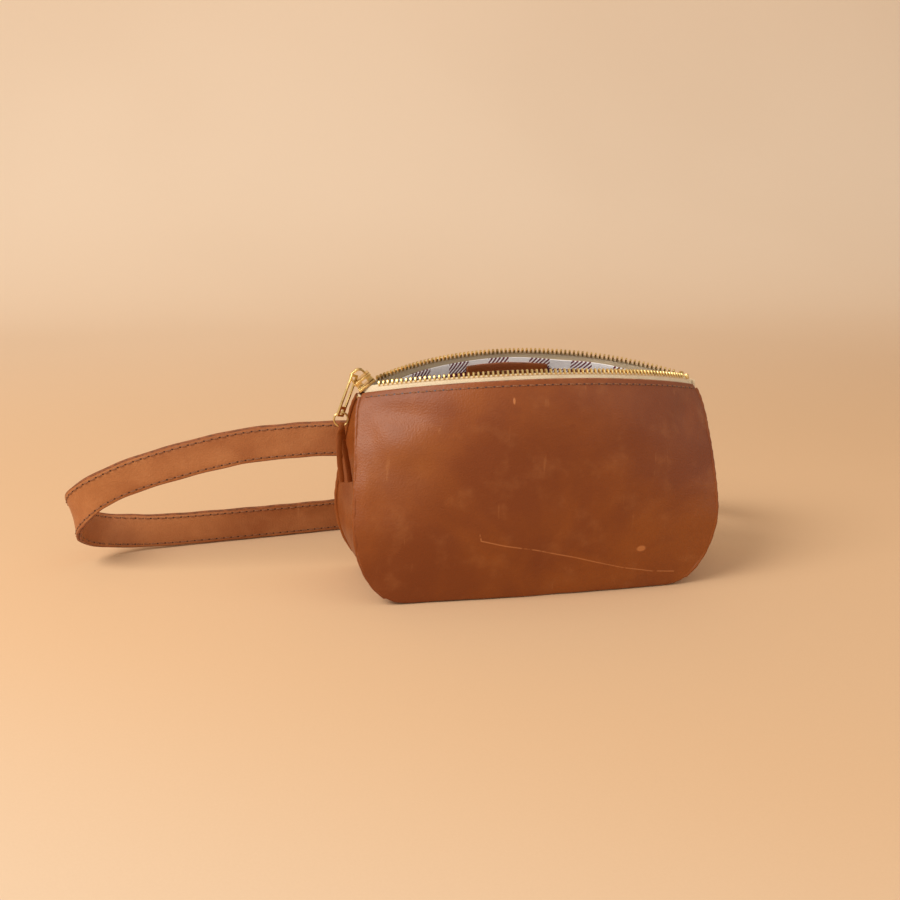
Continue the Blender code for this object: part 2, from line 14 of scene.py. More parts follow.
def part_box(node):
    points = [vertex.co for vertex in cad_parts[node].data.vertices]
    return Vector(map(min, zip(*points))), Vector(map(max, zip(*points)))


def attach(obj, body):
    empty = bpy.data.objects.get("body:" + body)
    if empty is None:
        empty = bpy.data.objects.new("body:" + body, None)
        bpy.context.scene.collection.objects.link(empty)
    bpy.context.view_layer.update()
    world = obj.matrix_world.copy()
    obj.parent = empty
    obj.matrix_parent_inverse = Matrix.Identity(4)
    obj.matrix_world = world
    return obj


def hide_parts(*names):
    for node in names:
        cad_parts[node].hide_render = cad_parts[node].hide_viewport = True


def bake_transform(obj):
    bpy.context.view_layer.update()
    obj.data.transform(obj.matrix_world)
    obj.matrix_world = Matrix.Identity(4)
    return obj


bl_info = {
    "name": "Leather waist pack",
    "version": (1, 0, 0),
    "blender": (4, 5, 0),
    "location": "View3D > Sidebar > Waist pack",
    "description": "Builds the waist pack's leather, lining, zip, strap and stage on its frame",
    "category": "Object",
}

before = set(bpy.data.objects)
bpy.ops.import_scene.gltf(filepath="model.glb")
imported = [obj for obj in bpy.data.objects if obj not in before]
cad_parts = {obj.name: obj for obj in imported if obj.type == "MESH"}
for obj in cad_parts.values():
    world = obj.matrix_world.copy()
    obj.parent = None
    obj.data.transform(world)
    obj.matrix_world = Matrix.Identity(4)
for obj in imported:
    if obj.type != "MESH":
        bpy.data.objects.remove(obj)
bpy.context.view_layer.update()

# ---------------------------------------------------------------- sizes shared with the frame
ZIP_HALF = 0.094
ZIP_Z = 0.1155
LIP_RISE = 0.033
LIP_TILT = math.radians(70)
EDGE_SETBACK = 0.0062
EDGE_RISE = 0.0023
BASE_HALF = 0.075
CORNER_WIDE = 0.0285
CORNER_TALL = 0.045
BACK_WIDER = 0.0035
SHOULDER = 0.0032
BASE_DEPTH = 0.031
TOP_DEPTH = 0.0036
TOP_Z = 0.1102
LIP_FLARE = 0.0032
FRONT_BULGE = 0.007
BACK_BULGE = 0.003
LEATHER = 0.0017
LINING = 0.0006
GAP = 0.00035
LINING_DEPTH = 0.0029
GUSSET_DENT = 0.0045
SEAM_INSET = 0.0006        # the sewn edges, in from the frame's outline
LINING_SETBACK = 0.0068
STRAP_WIDTH = 0.020
PLY = 0.00135
PLY_GAP = 0.00015
STRAP_Y = 0.104
BUCKLE_Z = 0.014
LAP_Y = 0.1063
BAR_X = 0.035
FRONT_BAR_X = 0.014
FRAME_Y = STRAP_Y - 0.001
WIRE_R = 0.0015
HOLE_STEP = 0.025
HOLE_X = 0.027
HOLE_R = 0.0017
RING_R = 0.0038
RING_WIRE = 0.00055
PULL_HINGE = (-0.098718, 0, 0.119152)
TAB_TWIST = math.radians(48)   # the loose tab lies with its face towards the front

ARC_R = (LIP_RISE ** 2 + ZIP_HALF ** 2) / (2 * LIP_RISE)
ARC_END = math.asin(ZIP_HALF / ARC_R)
ARC_CENTRE = Vector((0, 0, ZIP_Z + LIP_RISE - ARC_R))
ZIP_AXIS = Vector((0, 0, ZIP_Z))
MIDDLE = Vector((0, 0, 0.06))
PANELS = ((-1, FRONT_BULGE), (1, BACK_BULGE))
UP = Vector((0, 0, 1))
CHAIN_START = math.radians(-35.2)
CHAIN_END = math.radians(36.2)
HIDE_LOOKS = ("side_leather", "flesh_side", "burnished_edge")
STRAP_LOOKS = ("strap_leather", "flesh_side", "burnished_edge")
SEWING_LOOKS = ("waxed_thread", "stitch_hole")
LIP_BODY = {-1: "front_lip", 1: "back_lip"}
SIDE_NAME = {-1: "front", 1: "back"}

LONG_ROUTE = (
    (-0.0992, 0.0236, 0.079), (-0.119, 0.0268, 0.0782), (-0.136, 0.0292, 0.0767),
    (-0.157, 0.0312, 0.0743), (-0.188, 0.033, 0.0675), (-0.219, 0.0352, 0.058),
    (-0.240, 0.0392, 0.047), (-0.2490, 0.0475, 0.0355), (-0.2485, 0.0585, 0.0245),
    (-0.239, 0.0690, 0.0167), (-0.222, 0.0765, 0.0125), (-0.200, 0.0800, 0.0107),
    (-0.152, 0.0860, 0.0103), (-0.100, 0.0930, 0.0103), (-0.060, 0.0985, 0.0112),
    (-0.025, 0.1015, 0.0132), (0.0, 0.1008, BUCKLE_Z), (FRONT_BAR_X, 0.0997, BUCKLE_Z),
    (0.025, 0.1040, BUCKLE_Z), (BAR_X, 0.1082, BUCKLE_Z), (0.048, 0.1072, BUCKLE_Z),
    (0.060, LAP_Y, BUCKLE_Z), (0.078, LAP_Y, BUCKLE_Z), (0.095, LAP_Y, BUCKLE_Z))
SHORT_ROUTE = (
    (0.0525, FRAME_Y, BUCKLE_Z), (0.070, FRAME_Y, BUCKLE_Z), (0.088, FRAME_Y, BUCKLE_Z),
    (0.104, 0.1005, 0.0165), (0.119, 0.0920, 0.026), (0.130, 0.0770, 0.040),
    (0.1335, 0.0600, 0.0555), (0.128, 0.0440, 0.068), (0.118, 0.0320, 0.0765),
    (0.0992, 0.0236, 0.079))
STRAP_STEP = 0.0095


# ---------------------------------------------------------------- settings
def length(name, default, description):
    return FloatProperty(name=name, description=description, default=default, min=0.0,
                         precision=5, subtype="DISTANCE", unit="LENGTH")


def colour(name, default, description):
    return FloatVectorProperty(name=name, description=description, default=default, size=3,
                               min=0.0, max=1.0, subtype="COLOR")


class PackLeatherSettings(bpy.types.PropertyGroup):
    panel: colour("Panel", (0.268, 0.066, 0.0060), "Leather of the bag in its middle tone")
    panel_dark: colour("Panel, dark", (0.192, 0.040, 0.0034), "Darker clouds in the leather")
    panel_light: colour("Panel, light", (0.40, 0.145, 0.042), "Where the leather is stretched pale")
    strap: colour("Strap", (0.47, 0.182, 0.062), "Leather of the waist strap")
    strap_dark: colour("Strap, dark", (0.32, 0.098, 0.026), "Darker clouds in the strap")
    strap_light: colour("Strap, light", (0.52, 0.215, 0.082), "Paler, flexed parts of the strap")
    edge: colour("Edge", (0.145, 0.042, 0.012), "Burnished cut edges")
    holes: colour("Stitch holes", (0.035, 0.009, 0.003), "Shade inside the stitch holes")
    flesh: colour("Flesh side", (0.36, 0.17, 0.075), "Suede side of the leather")
    thread: colour("Thread", (0.34, 0.130, 0.050), "Sewing thread")


class PackSewingSettings(bpy.types.PropertyGroup):
    pitch: length("Stitch pitch", 0.0044, "From one stitch to the next")
    stitch: length("Stitch length", 0.0030, "Visible length of one stitch")
    thread: length("Thread", 0.00078, "Thickness of the thread")
    edge: length("Edge distance", 0.0026, "From the leather's edge to the row")
    strap_edge: length("Strap edge distance", 0.0021, "From the strap's edge to the row")


class PackZipSettings(bpy.types.PropertyGroup):
    pitch: length("Tooth pitch", 0.00254, "From one tooth to the next on one side")
    tooth: length("Tooth width", 0.00122, "Length of one tooth along the chain")
    brass: colour("Brass", (0.80, 0.58, 0.24), "Brushed, slightly aged brass")
    tape: colour("Tape", (0.88, 0.74, 0.52), "Cotton tape")


class PackLiningSettings(bpy.types.PropertyGroup):
    check: length("Check", 0.0127, "Side of one check of the gingham")
    stripe: length("Stripe", 0.0025, "Pitch of the diagonal yarns in the half-tone checks")
    dark: colour("Dark yarn", (0.15, 0.010, 0.032), "Wine-coloured yarn")
    pale: colour("Pale yarn", (0.97, 0.93, 0.92), "Undyed yarn")
    columns: IntProperty(name="Columns", description="Cells across a lining panel",
                         default=90, min=10, max=200)


class PackStageSettings(bpy.types.PropertyGroup):
    floor: colour("Floor", (0.71, 0.465, 0.268), "Seamless paper under and behind the bag")
    # Painted light: the same paper, painted paler where it rises behind.
    painted_wall_tone: colour("Wall", (0.93, 0.74, 0.55), "Same paper where it rises behind")
    key: FloatProperty(name="Key light", description="Power of the large soft light",
                       default=20.0, min=0.0, subtype="POWER", unit="POWER")
    fill: FloatProperty(name="Fill light", description="Power of the weak light on the right",
                        default=3.0, min=0.0, subtype="POWER", unit="POWER")
    world: FloatProperty(name="Room", description="Strength of the room's even light",
                         default=0.66, min=0.0)
    lens: FloatProperty(name="Lens", description="Focal length on a 36 mm sensor",
                        default=42.0, min=1.0, subtype="DISTANCE_CAMERA")


# ---------------------------------------------------------------- material helpers
class Nodes:
    """Short calls for building one material's node tree."""

    def __init__(self, name):
        self.made = bpy.data.materials.new(name)
        self.made.use_nodes = True
        self.tree = self.made.node_tree
        self.shader = self.tree.nodes["Principled BSDF"]
        self.place = self.new("TexCoord")

    def new(self, kind, **values):
        node = self.tree.nodes.new("ShaderNode" + kind)
        for key, value in values.items():
            setattr(node, key, value)
        return node

    def link(self, out, into):
        self.tree.links.new(out, into)

    def put(self, socket, value):
        if isinstance(value, bpy.types.NodeSocket):
            self.link(value, socket)
        elif value is not None:
            socket.default_value = value

    def math(self, kind, a, b=0.0, c=None, clamp=False):
        node = self.new("Math", operation=kind, use_clamp=clamp)
        for socket, value in zip(node.inputs, (a, b, c)):
            self.put(socket, value)
        return node.outputs[0]

    def vector(self, kind, a, b=None, scale=None):
        node = self.new("VectorMath", operation=kind)
        self.put(node.inputs[0], a)
        self.put(node.inputs[1], b)
        if scale is not None:
            self.put(node.inputs["Scale"], scale)
        number = kind in ("LENGTH", "DISTANCE", "DOT_PRODUCT")
        return node.outputs["Value" if number else "Vector"]

    def noise(self, scale, detail=3.0, rough=0.55, stretch=None, source=None, distort=0.0):
        node = self.new("TexNoise")
        where = source or self.place.outputs["Object"]
        if stretch:
            where = self.vector("MULTIPLY", where, stretch)
        self.link(where, node.inputs["Vector"])
        node.inputs["Scale"].default_value = scale
        node.inputs["Detail"].default_value = detail
        node.inputs["Roughness"].default_value = rough
        node.inputs["Distortion"].default_value = distort
        return node.outputs["Fac"]

    def cells(self, scale):
        node = self.new("TexVoronoi", feature="SMOOTH_F1")
        self.link(self.place.outputs["Object"], node.inputs["Vector"])
        node.inputs["Scale"].default_value = scale
        return node.outputs["Distance"]

    def spread(self, value, low, high, to_low=0.0, to_high=1.0):
        node = self.new("MapRange", interpolation_type="SMOOTHSTEP")
        for key, item in (("Value", value), ("From Min", low), ("From Max", high),
                          ("To Min", to_low), ("To Max", to_high)):
            self.put(node.inputs[key], item)
        return node.outputs["Result"]

    def mix(self, amount, a, b):
        node = self.new("Mix", data_type="RGBA")
        self.put(node.inputs["Factor"], amount)
        for socket, value in ((node.inputs[6], a), (node.inputs[7], b)):
            self.put(socket, (*value, 1) if isinstance(value, tuple) else value)
        return node.outputs[2]

    def bump(self, height, distance, strength=1.0, under=None):
        node = self.new("Bump")
        self.link(height, node.inputs["Height"])
        node.inputs["Distance"].default_value = distance
        node.inputs["Strength"].default_value = strength
        self.put(node.inputs["Normal"], under)
        return node.outputs["Normal"]

    def segment(self, start, end, reach):
        """1 on a line from start to end, given as x and z, fading to 0 at reach from it."""
        a, b = Vector((start[0], 0, start[1])), Vector((end[0], 0, end[1]))
        flat = self.vector("MULTIPLY", self.place.outputs["Object"], (1, 0, 1))
        off = self.vector("SUBTRACT", flat, tuple(a))
        share = self.math("DIVIDE", self.vector("DOT_PRODUCT", off, tuple(b - a)),
                          (b - a).length_squared, clamp=True)
        nearest = self.vector("SCALE", tuple(b - a), scale=share)
        away = self.vector("DISTANCE", off, nearest)
        return self.spread(away, reach, 0.0)

    def spot(self, centre, size, soft=0.3):
        """1 inside an ellipse given as x, z and two radii, fading at its rim."""
        off = self.vector("SUBTRACT", self.place.outputs["Object"], (centre[0], 0, centre[1]))
        away = self.vector("LENGTH", self.vector("MULTIPLY", off, (1 / size[0], 0, 1 / size[1])))
        return self.spread(away, 1 + soft, 1 - soft)

    def done(self, colour_out=None, rough=None, normal=None, **fixed):
        self.put(self.shader.inputs["Base Color"],
                 (*colour_out, 1) if isinstance(colour_out, tuple) else colour_out)
        self.put(self.shader.inputs["Roughness"], rough)
        self.put(self.shader.inputs["Normal"], normal)
        for key, value in fixed.items():
            self.shader.inputs[key.replace("_", " ")].default_value = value
        return self.made


def leather_material(name, middle, dark, light, marks_and_painted_highlight=False, rough=0.47):
    """Pull-up leather: cloudy colour, fine pebbled grain, soft scuffs; optionally also scratches,
    spots and a painted highlight on the upper left.
    """
    n = Nodes(name)
    clouds = n.noise(16, 4, 0.55, distort=0.4)
    blotch = n.noise(55, 3, 0.6)
    fine = n.noise(420, 4, 0.6)
    tone = n.mix(n.spread(clouds, 0.36, 0.66), dark, middle)
    tone = n.mix(n.math("MULTIPLY", n.spread(blotch, 0.50, 0.80), 0.30), tone, light)
    tone = n.mix(n.math("MULTIPLY", n.spread(fine, 0.35, 0.75), 0.22), tone, dark)
    height = n.noise(1500, 3, 0.6)
    pits = n.cells(1150)
    grain = n.math("ADD", n.math("MULTIPLY", height, 0.45), n.math("MULTIPLY", pits, 0.8))
    streak = n.noise(260, 2, 0.5, stretch=(1.0, 1.0, 0.12))
    scuff = n.spread(streak, 0.66, 0.74)
    scuff = n.math("MULTIPLY", scuff, n.spread(blotch, 0.45, 0.62))
    tone = n.mix(n.math("MULTIPLY", scuff, 0.30), tone, light)
    sheen = n.spread(clouds, 0.3, 0.7, rough + 0.07, rough - 0.05)
    normal = n.bump(grain, 0.00026, 0.7)
    if marks_and_painted_highlight:
        line = None
        for start, end in SCRATCHES:
            mark = n.segment(start, end, 0.00055)
            line = mark if line is None else n.math("MAXIMUM", line, mark)
        broken = n.spread(n.noise(190, 3, 0.7), 0.30, 0.48)
        line = n.math("MULTIPLY", line, broken)
        for centre, size in SCARS:
            line = n.math("MAXIMUM", line, n.spot(centre, size))
        tone = n.mix(n.math("MULTIPLY", line, 0.75), tone, tuple(min(1, 1.35 * c) for c in light))
        for centre, size in DARK_SPOTS:
            tone = n.mix(n.math("MULTIPLY", n.spot(centre, size, 0.5), 0.6), tone, dark)
        # Painted highlight: a soft pale patch on the upper left of the front, where the key light
        # catches the bulge.
        painted_highlight = n.spot((-0.084, 0.086), (0.020, 0.024), 0.9)
        tone = n.mix(n.math("MULTIPLY", painted_highlight, 0.22), tone, light)
        normal = n.bump(line, 0.0003, 0.5, normal)
    return n.done(tone, sheen, normal, Specular_IOR_Level=0.36, Coat_Weight=0.05,
                  Coat_Roughness=0.35)


SCRATCHES = (
    ((-0.0380, 0.0402), (-0.0370, 0.0366)), ((-0.0370, 0.0366), (-0.0237, 0.0330)),
    ((-0.0237, 0.0330), (-0.0067, 0.0296)), ((-0.0067, 0.0296), (0.0169, 0.0232)),
    ((0.0169, 0.0232), (0.0461, 0.0144)), ((0.0461, 0.0144), (0.0641, 0.0105)),
    ((0.0641, 0.0105), (0.0783, 0.0088)))
SCARS = (((-0.0213, 0.1115), (0.0006, 0.0016)), ((0.0553, 0.0257), (0.0026, 0.0017)))
DARK_SPOTS = (((-0.0170, 0.0478), (0.0011, 0.0010)), ((0.082, 0.103), (0.0045, 0.006)),
              ((0.010, 0.098), (0.0016, 0.0012)))


def edge_material(name, tone):
    n = Nodes(name)
    streaks = n.noise(320, 3, 0.6, stretch=(1, 1, 3))
    shade = n.mix(n.spread(streaks, 0.3, 0.7), tone, tuple(min(1, 2.3 * c) for c in tone))
    normal = n.bump(streaks, 0.00025, 0.6)
    return n.done(shade, n.spread(streaks, 0.3, 0.7, 0.38, 0.58), normal)


def suede_material(name, tone):
    """Flesh side: short matt nap."""
    n = Nodes(name)
    nap = n.noise(900, 5, 0.7)
    broad = n.noise(45, 3, 0.6)
    dark = tuple(c * 0.62 for c in tone)
    shade = n.mix(n.spread(nap, 0.3, 0.7), dark, tone)
    shade = n.mix(n.math("MULTIPLY", n.spread(broad, 0.4, 0.7), 0.35), shade, dark)
    return n.done(shade, n.spread(nap, 0.3, 0.7, 0.8, 0.95), n.bump(nap, 0.0004, 0.7),
                  Specular_IOR_Level=0.2)


def thread_material(name, tone):
    """Waxed thread, twisted."""
    n = Nodes(name)
    wave = n.new("TexWave", bands_direction="DIAGONAL")
    n.link(n.place.outputs["Object"], wave.inputs["Vector"])
    wave.inputs["Scale"].default_value = 520
    wave.inputs["Distortion"].default_value = 1.0
    dark = tuple(c * 0.55 for c in tone)
    shade = n.mix(wave.outputs["Fac"], dark, tone)
    shade = n.mix(n.spread(n.noise(70), 0.5, 0.75, 0.0, 0.5), shade, dark)
    return n.done(shade, n.spread(n.noise(300), 0.3, 0.7, 0.5, 0.7),
                  n.bump(wave.outputs["Fac"], 0.0002, 0.6))


def brass_material(name, tone):
    n = Nodes(name)
    broad = n.noise(150, 3, 0.6)
    fine = n.noise(1800, 3, 0.6, stretch=(1, 1, 0.25))
    dark = tuple(c * k for c, k in zip(tone, (0.42, 0.36, 0.30)))
    shade = n.mix(n.spread(broad, 0.46, 0.74), tone, dark)
    shade = n.mix(n.math("MULTIPLY", n.spread(fine, 0.5, 0.8), 0.35), shade, dark)
    rough = n.math("ADD", n.spread(broad, 0.35, 0.7, 0.22, 0.42), n.math("MULTIPLY", fine, 0.08))
    return n.done(shade, rough, n.bump(fine, 0.00006, 0.4), Metallic=1.0)


def tape_material(name, tone):
    """Herringbone cotton tape."""
    n = Nodes(name)
    parts = n.new("SeparateXYZ")
    n.link(n.place.outputs["UV"], parts.inputs[0])
    u, v = parts.outputs[0], parts.outputs[1]
    chevron, yarn = 0.0032, 0.0008
    fold = n.math("FRACT", n.math("DIVIDE", v, chevron))
    fold = n.math("ABSOLUTE", n.math("SUBTRACT", fold, 0.5))
    twill = n.math("ADD", u, n.math("MULTIPLY", fold, chevron))
    twill = n.math("FRACT", n.math("DIVIDE", twill, yarn))
    ridge = n.spread(n.math("ABSOLUTE", n.math("SUBTRACT", twill, 0.5)), 0.05, 0.45)
    dark = tuple(c * k for c, k in zip(tone, (0.70, 0.62, 0.52)))
    shade = n.mix(n.math("MULTIPLY", ridge, 0.6), tone, dark)
    grubby = n.spread(n.noise(60, 4, 0.6), 0.42, 0.7)
    shade = n.mix(n.math("MULTIPLY", grubby, 0.45), shade, dark)
    return n.done(shade, n.spread(grubby, 0.0, 1.0, 0.82, 0.93), n.bump(ridge, 0.0002, 0.6),
                  Specular_IOR_Level=0.25)


def gingham_material(name):
    """Woven checks: undyed, wine, and diagonal half-tone where the two cross."""
    cfg = bpy.context.scene.pack_lining
    n = Nodes(name)
    parts = n.new("SeparateXYZ")
    n.link(n.place.outputs["UV"], parts.inputs[0])
    wander = n.math("MULTIPLY", n.math("SUBTRACT", n.noise(90, 2), 0.5), 0.0006)
    u = n.math("ADD", parts.outputs[0], wander)
    v = n.math("SUBTRACT", parts.outputs[1], wander)

    def band(way, shift):
        repeat = n.math("DIVIDE", n.math("ADD", way, shift), 2 * cfg.check)
        return n.math("GREATER_THAN", n.math("FRACT", repeat), 0.5)

    across, down = band(u, 0.0045), band(v, 0.0072)
    both = n.math("MULTIPLY", across, down)
    one = n.math("SUBTRACT", n.math("MAXIMUM", across, down), both)
    slant = n.math("FRACT", n.math("DIVIDE", n.math("ADD", u, v), cfg.stripe))
    slant = n.math("ABSOLUTE", n.math("SUBTRACT", slant, 0.5))
    stripes = n.math("MULTIPLY", n.spread(slant, 0.2, 0.3), one)
    amount = n.math("MAXIMUM", both, stripes)
    yarns = 2 * math.pi / 0.00055
    weft = n.math("SINE", n.math("MULTIPLY", u, yarns))
    warp = n.math("SINE", n.math("MULTIPLY", v, yarns))
    weave = n.math("MULTIPLY", weft, warp)
    tone = n.mix(amount, tuple(cfg.pale), tuple(cfg.dark))
    slub = n.noise(700, 3, 0.6, source=n.place.outputs["UV"])
    tone = n.mix(n.spread(slub, 0.5, 0.8, 0.0, 0.18), tone, tuple(0.5 * c for c in cfg.pale))
    return n.done(tone, n.spread(slub, 0.3, 0.7, 0.82, 0.94), n.bump(weave, 0.00018, 0.5),
                  Specular_IOR_Level=0.2, Sheen_Weight=0.15)


def floor_material(name, tone, painted_wall_tone):
    n = Nodes(name)
    fibre = n.noise(900, 4, 0.6)
    broad = n.noise(1.4, 2, 0.5)
    parts = n.new("SeparateXYZ")
    n.link(n.place.outputs["Object"], parts.inputs[0])
    # Painted light: the paper is painted paler towards the back where it rises into the wall.
    far = n.spread(parts.outputs[1], 0.15, 1.5)
    painted_light_floor_tone = n.mix(far, tone, painted_wall_tone)
    # Painted light: a paler pool of light painted on the floor towards the front left, under the
    # key light.
    painted_pool_axis = n.math("ADD", parts.outputs[0], n.math("MULTIPLY", parts.outputs[1], 1.6))
    painted_pool_tone = tuple(min(1, k * c) for k, c in zip((1.02, 1.25, 1.6), tone))
    painted_light_floor_tone = n.mix(n.spread(painted_pool_axis, -0.25, -0.95), painted_light_floor_tone, painted_pool_tone)
    shade = n.mix(n.spread(fibre, 0.3, 0.7, 0.0, 0.05), painted_light_floor_tone, tuple(c * 0.8 for c in tone))
    shade = n.mix(n.spread(broad, 0.35, 0.65, 0.0, 0.08), shade, tuple(c * 0.85 for c in tone))
    return n.done(shade, n.spread(fibre, 0.3, 0.7, 0.8, 0.9), n.bump(fibre, 0.0002, 0.12),
                  Specular_IOR_Level=0.15)


def finish(name):
    """The material of that name, made the first time it is asked for."""
    made = bpy.data.materials.get(name)
    if made:
        return made
    scene = bpy.context.scene
    hide, zips, stage = scene.pack_leather, scene.pack_zip, scene.pack_stage
    kind, *tones = {
        "pull_up_leather": (leather_material, hide.panel, hide.panel_dark, hide.panel_light),
        "side_leather": (leather_material, hide.panel, hide.panel_dark, hide.panel_light),
        "strap_leather": (leather_material, hide.strap, hide.strap_dark, hide.strap_light),
        "lace_leather": (leather_material, hide.panel, hide.panel_dark, hide.strap_dark),
        "burnished_edge": (edge_material, hide.edge),
        "stitch_hole": (edge_material, hide.holes),
        "flesh_side": (suede_material, hide.flesh),
        "waxed_thread": (thread_material, hide.thread),
        "aged_brass": (brass_material, zips.brass),
        "cotton_tape": (tape_material, zips.tape),
        "gingham_cotton": (gingham_material,),
        "paper_floor": (floor_material, stage.floor, stage.painted_wall_tone),
    }[name]
    return kind(name, *(tuple(tone) for tone in tones), **FINISH_EXTRAS.get(name, {}))


FINISH_EXTRAS = {"pull_up_leather": {"marks_and_painted_highlight": True}, "strap_leather": {"rough": 0.44},
                 "lace_leather": {"rough": 0.55}}


# ---------------------------------------------------------------- mesh helpers
def put_object(name, bm, looks, body=None, nodes=(), smooth=40):
    """Make an object from a bmesh in the frame's coordinates, and tie it to the frame when a body
    is given.
    """
    bmesh.ops.recalc_face_normals(bm, faces=bm.faces)
    mesh = bpy.data.meshes.new(name)
    bm.to_mesh(mesh)
    bm.free()
    mesh.shade_smooth()
    mesh.set_sharp_from_angle(angle=math.radians(smooth))
    for look in looks:
        mesh.materials.append(finish(look))
    made = bpy.data.objects.new(name, mesh)
    bpy.context.scene.collection.objects.link(made)
    if nodes:
        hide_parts(*nodes)
    if body:
        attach(made, body)
    return made


def lip_blend(made):
    """Bake the object's placement into its mesh."""
    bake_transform(made)


def skin_rings(bm, rings, closed=False, look=0):
    rows = [[bm.verts.new(point) for point in ring] for ring in rings]
    pairs = list(zip(rows, rows[1:]))
    if closed:
        pairs.append((rows[-1], rows[0]))
    count = len(rows[0])
    faces = []
    for low, high in pairs:
        for i in range(count):
            j = (i + 1) % count
            faces.append(bm.faces.new((low[i], low[j], high[j], high[i])))
    if not closed:
        faces += [bm.faces.new(rows[0]), bm.faces.new(rows[-1])]
    for face in faces:
        face.material_index = look
    return rows


def grid_normals(rows):
    last_i, last_j = len(rows) - 1, len(rows[0]) - 1
    out = []
    for i in range(last_i + 1):
        line = []
        for j in range(last_j + 1):
            along = rows[i][min(j + 1, last_j)] - rows[i][max(j - 1, 0)]
            up = rows[min(i + 1, last_i)][j] - rows[max(i - 1, 0)][j]
            line.append(along.cross(up).normalized())
        out.append(line)
    return out


def facing(rows, normals, inside):
    i, j = len(rows) // 2, len(rows[0]) // 2
    return 1 if normals[i][j].dot(inside - rows[i][j]) > 0 else -1


def distances(rows):
    """Distance of each grid point along its row from the middle, and down its middle column."""
    mid = len(rows[0]) // 2
    down = [0.0]
    for low, high in zip(rows, rows[1:]):
        down.append(down[-1] + (high[mid] - low[mid]).length)
    flat = []
    for row, v in zip(rows, down):
        along = [0.0]
        for a, b in zip(row, row[1:]):
            along.append(along[-1] + (b - a).length)
        flat.append([(u - along[mid], down[-1] - v) for u in along])
    return flat


def sheet_mesh(rows, outer, inner, inside=MIDDLE, looks=(0, 0, 0), rim_steps=4):
    """Closed sheet under a grid with a rounded rim; looks are for outer, inner and rim faces."""
    normals = grid_normals(rows)
    sign = facing(rows, normals, inside)
    flat = distances(rows)
    high, wide = len(rows) - 1, len(rows[0]) - 1
    bm = bmesh.new()
    uv = bm.loops.layers.uv.new("UVMap")
    spread = {}

    def add(point, i, j):
        vert = bm.verts.new(point)
        spread[vert] = flat[i][j]
        return vert

    def layer(depth):
        return [[add(rows[i][j] + normals[i][j] * depth * sign, i, j) for j in range(wide + 1)]
                for i in range(high + 1)]

    sheets = (layer(outer), layer(inner))
    for sheet, look in zip(sheets, looks):
        for i in range(high):
            for j in range(wide):
                face = bm.faces.new((sheet[i][j], sheet[i][j + 1], sheet[i + 1][j + 1],
                                     sheet[i + 1][j]))
                face.material_index = look
    edge = [(0, j) for j in range(wide)] + [(i, wide) for i in range(high)]
    edge += [(high, j) for j in range(wide, 0, -1)] + [(i, 0) for i in range(high, 0, -1)]
    radius = (inner - outer) / 2
    loops = []
    for i, j in edge:
        top, bottom = sheets[0][i][j], sheets[1][i][j]
        centre = (top.co + bottom.co) / 2
        away = rows[i][j] - rows[min(max(i, 1), high - 1)][min(max(j, 1), wide - 1)]
        away = away.normalized() * radius
        across = (bottom.co - top.co) / 2
        ring = [top]
        for k in range(1, rim_steps):
            turn = math.pi * k / rim_steps
            ring.append(add(centre - across * math.cos(turn) + away * math.sin(turn), i, j))
        loops.append(ring + [bottom])
    for one, two in zip(loops, loops[1:] + loops[:1]):
        for k in range(rim_steps):
            face = bm.faces.new((one[k], two[k], two[k + 1], one[k + 1]))
            face.material_index = looks[2]
    for face in bm.faces:
        for loop in face.loops:
            loop[uv].uv = spread[loop.vert]
    return bm


def smooth_curve(points, step):
    knots = [Vector(p) for p in points]
    knots = [knots[0] * 2 - knots[1]] + knots + [knots[-1] * 2 - knots[-2]]
    out = []
    for a, b, c, d in zip(knots, knots[1:], knots[2:], knots[3:]):
        count = max(1, round((c - b).length / step))
        for k in range(count):
            t = k / count
            out.append(0.5 * (2 * b + (c - a) * t + (2 * a - 5 * b + 4 * c - d) * t * t
                              + (3 * b - a - 3 * c + d) * t ** 3))
    out.append(knots[-2])
    return out


def even_points(path, gap):
    """Points at equal distances along a polyline, with their directions."""
    out, left = [], gap / 2
    for a, b in zip(path, path[1:]):
        span = (b - a).length
        while left <= span:
            out.append((a + (b - a) * (left / span), (b - a).normalized()))
            left += gap
        left -= span
    return out


def tube_into(bm, centres, radius, sides=10, closed=False, up=UP, look=0):
    """Round rod along points; radius may be a list."""
    count = len(centres)
    rings = []
    for i, centre in enumerate(centres):
        before = centres[(i - 1) % count] if closed else centres[max(i - 1, 0)]
        after = centres[(i + 1) % count] if closed else centres[min(i + 1, count - 1)]
        along = (after - before).normalized()
        side = along.cross(up).normalized()
        top = side.cross(along)
        size = radius[i] if isinstance(radius, list) else radius
        rings.append([centre + size * (math.cos(a) * side + math.sin(a) * top)
                      for a in (2 * math.pi * k / sides for k in range(sides))])
    skin_rings(bm, rings, closed, look)
    return bm


def nearest(path, outward):
    """Function that gives the outward direction at the path's point nearest to a spot."""
    def normal_at(spot):
        return outward[min(range(len(path)), key=lambda k: (path[k] - spot).length_squared)]

    return normal_at


